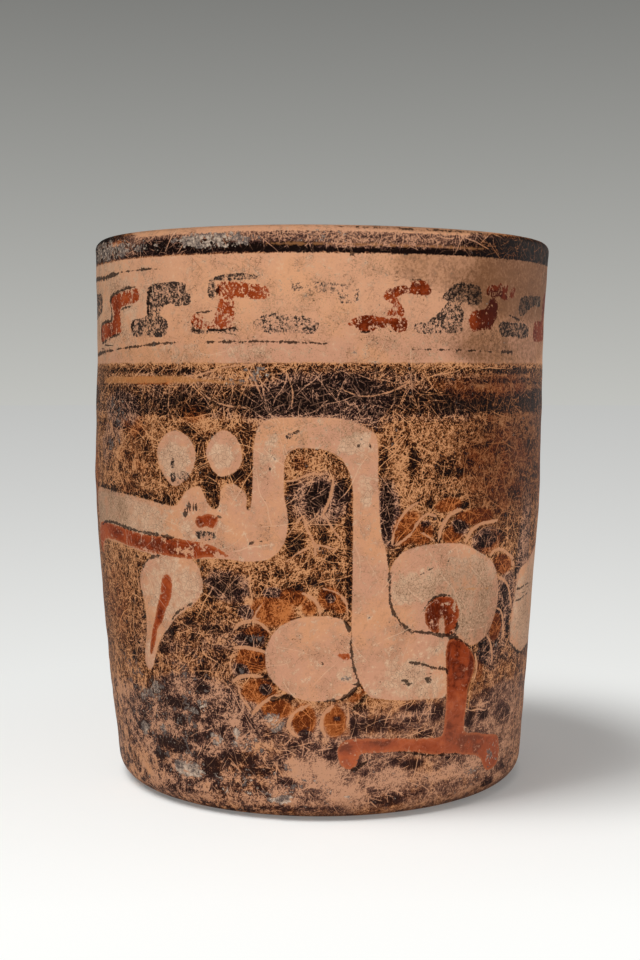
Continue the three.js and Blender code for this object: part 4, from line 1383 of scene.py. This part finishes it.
# Red paint, brighter and deeper in places, worn along its edges and flaking
def redOver(r, w, painted):
    depth, cover = r.layer("red"), r.layer("redCover")
    flaked = w.fine * (2.0 + w.aloft * 2.8) + w.middle * (1.8 + w.aloft * 0.4) - w.scored * 0.24
    kept = r.rise(cover + flaked + r.rise(depth, 0.0, 1.4) * (0.1 + w.aloft * 0.2), 0.5, 0.6)
    mask = r.rise(depth + w.fine * 1.2 + w.middle * 0.4, -0.16, 0.16) * kept
    shade = r.layer("redShade") + w.patchy * 1.6 + w.middle * 1.6
    tone = r.over(colours["red"], colours["redBright"], r.rise(shade, 0.0, 0.6))
    tone = r.over(tone, colours["redDeep"], r.rise(shade - w.fine * 0.6, 0.0, -0.5))
    border = r.rise(depth + w.fine * 1.6 + w.patchy, 0.9, 0.2) * (1 - w.aloft)
    tone = r.over(tone, colours["redEdge"], border * 0.5)
    tone = r.over(tone, colours["redWorn"], r.rise(cover * 0.4 + w.fine + w.middle, 0.3, 0.1) * 0.5)
    tone = r.over(tone, colours["redWorn"], w.scored * 0.24 + w.cool * w.low * 0.22)
    painted = r.over(painted, tone, mask)
    # Marks and red paint are darkened where the slip is stained and where shade is painted
    return r.glazed(painted, colours["paintStainShadeTint"], r.most(w.inMark, mask) * w.stain * 0.8)


# Dark lines, then the long strokes that cut the red paint and the buff too, as paler lines
def inkOver(r, w, painted):
    lines = strokeMask(r, "ink", w.fine * 1.8 + w.middle * 1.9, -0.08, 0.12)
    painted = r.over(painted, w.black, lines * (wallFinish["inkStrokes"] - w.scored * 0.4))
    return r.over(painted, colours["paleLight"], w.strokes * (1 - w.openGround) * 0.35)


# Granular mineral crust
def crustOver(r, w, painted):
    thick = r.layer("crust") * 0.85 + w.fine * 1.7 + w.middle * 2.4
    w.crusted = r.rise(thick + w.streaks * w.foot * 1.6, 0.56, 0.78)
    dark = r.rise(w.grain + w.middle + w.streaks * w.foot, -0.04, 0.12)
    tone = r.over(colours["crust"], colours["crustDark"], dark)
    pale = r.rise(w.fine - w.middle * 0.6 + w.foot * 0.06 + w.aloft * 0.05, 0.04, 0.2)
    tone = r.over(tone, colours["crustPale"], pale)
    w.relief = r.rise(thick, 0.56, 0.78) * 0.7 + w.fine * 0.5
    return r.over(painted, tone, w.crusted * wallFinish["crust"])


# Wiped clay inside and worn clay on the underside
def clayOver(r, w, painted):
    kind = r.layer("kind")
    wiped = drawnOut(r, w.place, wallFinish["wipeMarks"], wallFinish["wipeLength"])
    inside = r.over(colours["inside"], colours["insideDark"], r.rise(wiped + w.broad, -0.1, 0.35))
    inside = r.over(inside, colours["slip"], r.rise(w.middle + w.fine * 0.6, 0.1, 0.35) * 0.6)
    painted = r.over(painted, inside, r.rise(kind + w.fine * 0.2, 0.52, 0.72))
    under = r.over(colours["clay"], colours["stain"], r.rise(w.broad + w.fine, -0.1, 0.35))
    return r.over(painted, under, r.rise(w.fine * 0.3 - kind, 0.72, 0.96))


# The vessel's one material: every coat in turn, on a dull surface that the crust makes rougher
def slipPaint():
    material = bpy.data.materials.new("slip_paint")
    material.use_nodes = True
    r = Recipe(material.node_tree)
    w = readWall(r)
    rootWork(r, w)
    painted = bareSlip(r, w)
    for coat in (darkGroundOver, strokesOver, marksOver, redOver, inkOver, crustOver, clayOver):
        painted = coat(r, w, painted)
    rough = wallFinish["roughness"] + w.fine * 0.2 + w.crusted * 0.25
    lifts = {"Strength": wallFinish["bumpStrength"], "Distance": wallFinish["bumpDepth"] * mm}
    bump = r.node("ShaderNodeBump", {}, {**lifts, "Height": w.relief})
    inputs = {"Base Color": painted, "Roughness": rough, "Normal": bump}
    inputs["Specular IOR Level"] = wallFinish["specular"]
    surface = r.node("ShaderNodeBsdfPrincipled", {}, inputs)
    r.node("ShaderNodeOutputMaterial", {}, {"Surface": surface})
    return material


finish = slipPaint()
paintedWall.data.materials.append(finish)
paintedBase.data.materials.append(finish)
print("finish:", len(finish.node_tree.nodes), "nodes")


# Studio

view = {
    "distance": 0.48,  # from the vessel's axis
    "height": 0.1308,
    "downwards": 4.33,  # degrees
    "focalPixels": 1459.2,  # of a frame 960 pixels tall
    "framePixels": 960,
    "sensor": 36,
}

# Each lamp's level, where it stands in degrees to the right of the camera and up, its distance in
# metres and its two sides. The key and the edge lamp reach only the vessel. The edge lamp is a weak
# one from behind on the right, for the sheen along that edge. The side lamp reaches only the floor,
# for the soft shadow beside the vessel
lamps = {
    "key": {"level": 0.58, "azimuth": -2, "elevation": 36, "distance": 1.3, "size": 1.0, "tall": 1.0},
    "edge": {"level": 0.3, "azimuth": 112, "elevation": 12, "distance": 1.2, "size": 0.8, "tall": 0.8},
    "side": {"level": 0.9, "azimuth": -65, "elevation": 63.6, "distance": 4.0, "size": 1.46, "tall": 2.22},
}

studio = {
    "ambient": 0.24,  # what a white surface would show under the surroundings alone
    "floorLit": 0.8,  # the share of the near floor's tone that depends on light, and so takes shadow
    "gamma": 2.2,  # from a tone as it is seen to a level of light
    "horizonTone": 0.726,
    "topTone": 0.36,
    "toneFall": 0.96,  # how fast the backdrop darkens upwards, for each unit of slope
    "nearTone": 0.1236,  # how fast the floor lightens towards the viewer, for each 1 / m nearer
    "toneBend": 0.021,  # how that slows down close to
    "bendFrom": 0.92,
    # A painted contact shadow on the floor round the vessel's foot
    "contactShadowFrom": 0.067,  # from here inwards the floor darkens to where the vessel meets it
    "contactShadowTo": 0.064,
    "contactShadowDepth": 0.14,
    "blendFrom": 0.1,
    "blendTo": 0.2,
    "warmth": (0.997, 1.003, 0.983),  # the floor's tint, and that of the backdrop
    "warmthAbove": (1.012, 1.015, 0.966, 1.0),
}


# An area lamp that faces the middle of the vessel
def lamp(name, level, azimuth, elevation, distance, size, tall):
    light = bpy.data.lights.new(name, "AREA")
    light.shape = "RECTANGLE"
    light.size = size
    light.size_y = tall
    light.energy = math.pi**2 * distance**2 * level  # a white surface facing it then shows the level
    piece = bpy.data.objects.new(name, light)
    a, e = math.radians(azimuth), math.radians(elevation)
    piece.location = (
        distance * math.sin(a) * math.cos(e),
        -distance * math.cos(a) * math.cos(e),
        distance * math.sin(e) + crest * mm / 2,
    )
    piece.rotation_euler = (math.pi / 2 - e, 0, a)
    piece.visible_camera = False
    bpy.context.scene.collection.objects.link(piece)
    return piece


# The floor: a wide disc, paler towards the viewer, with a painted contact shadow where the vessel meets
# it. Near the vessel it takes light and shadow, and farther out it shows its plain tone and so joins the
# backdrop
def makeFloor(radius=5.0, sides=96):
    angle = np.arange(sides) / sides * 2 * math.pi
    ring = np.stack([radius * np.cos(angle), radius * np.sin(angle), np.zeros(sides)], axis=-1)
    mesh = bpy.data.meshes.new("floor")
    mesh.from_pydata(ring.tolist(), [], [list(range(sides))])
    floor = bpy.data.objects.new("floor", mesh)
    bpy.context.scene.collection.objects.link(floor)

    material = bpy.data.materials.new("pale_floor")
    material.use_nodes = True
    r = Recipe(material.node_tree)
    coordinates = r.node("ShaderNodeTexCoord", output="Object")
    offset = r.vector("ADD", coordinates, (0, view["distance"], 0))
    fromViewer = r.vector("LENGTH", offset, output="Value")
    nearness = 1 / r.math("MAXIMUM", fromViewer, 0.1)
    bend = r.math("MAXIMUM", nearness - studio["bendFrom"], 0.0)
    tone = studio["horizonTone"] + nearness * studio["nearTone"] - bend * bend * studio["toneBend"]
    shade = r.math("POWER", r.math("MINIMUM", tone, 1.0), studio["gamma"])
    away = r.vector("LENGTH", coordinates, output="Value")
    # Painted contact shadow: the floor darkens towards the vessel's foot
    contactShadow = 1 - r.rise(away, studio["contactShadowFrom"], studio["contactShadowTo"]) * studio["contactShadowDepth"]
    colour = r.scaled(studio["warmth"], shade * contactShadow)
    far = r.node("ShaderNodeEmission", {}, {"Color": colour})
    lit = r.node("ShaderNodeBsdfDiffuse", {}, {"Color": colour})
    near = r.node("ShaderNodeMixShader", {}, {0: studio["floorLit"], 1: far, 2: lit})
    blend = r.rise(away, studio["blendFrom"], studio["blendTo"])
    surface = r.node("ShaderNodeMixShader", {}, {0: blend, 1: near, 2: far})
    r.node("ShaderNodeOutputMaterial", {}, {"Surface": surface})
    mesh.materials.append(material)
    return floor


# The backdrop, grey above and paler towards the horizon, for what the camera and glossy surfaces
# see; everything else is lit by an even surrounding
def makeWorld():
    world = bpy.data.worlds.new("studio")
    bpy.context.scene.world = world
    world.use_nodes = True
    r = Recipe(world.node_tree)
    direction = r.node("ShaderNodeTexCoord", output="Generated")
    up = r.node("ShaderNodeSeparateXYZ", {}, {"Vector": direction}, "Z")
    slope = up / r.math("SQRT", r.math("MAXIMUM", 1 - up * up, 0.01))
    tone = r.math("MAXIMUM", studio["horizonTone"] - slope * studio["toneFall"], studio["topTone"])
    shown = {"Color": studio["warmthAbove"], "Strength": r.math("POWER", tone, studio["gamma"])}
    seen = r.node("ShaderNodeBackground", {}, shown)
    even = {"Color": (1, 1, 1, 1), "Strength": studio["ambient"]}
    around = r.node("ShaderNodeBackground", {}, even)
    path = r.node("ShaderNodeLightPath", output="Is Camera Ray")
    mask = r.most(path, path.also("Is Glossy Ray"))
    surface = r.node("ShaderNodeMixShader", {}, {0: mask, 1: around, 2: seen})
    r.node("ShaderNodeOutputWorld", {}, {"Surface": surface})


# Lets a lamp reach the named objects only
def reachOnly(light, *pieces):
    reached = bpy.data.collections.new(light.name + "_reaches")
    for piece in pieces:
        reached.objects.link(piece)
    light.light_linking.receiver_collection = reached


floor = makeFloor()
makeWorld()
reachOnly(lamp("key", **lamps["key"]), paintedWall, paintedBase)
reachOnly(lamp("edge", **lamps["edge"]), paintedWall, paintedBase)
reachOnly(lamp("side", **lamps["side"]), floor)
print("studio:", len(lamps), "lamps, floor and backdrop")

camera = bpy.data.objects.new("camera", bpy.data.cameras.new("camera"))
camera.data.sensor_fit = "VERTICAL"
camera.data.sensor_height = view["sensor"]
camera.data.lens = view["focalPixels"] / view["framePixels"] * view["sensor"]
camera.location = (0, -view["distance"], view["height"])
camera.rotation_euler = (math.radians(90 - view["downwards"]), 0, 0)
bpy.context.scene.collection.objects.link(camera)
bpy.context.scene.camera = camera
bpy.context.scene.view_settings.view_transform = "Standard"
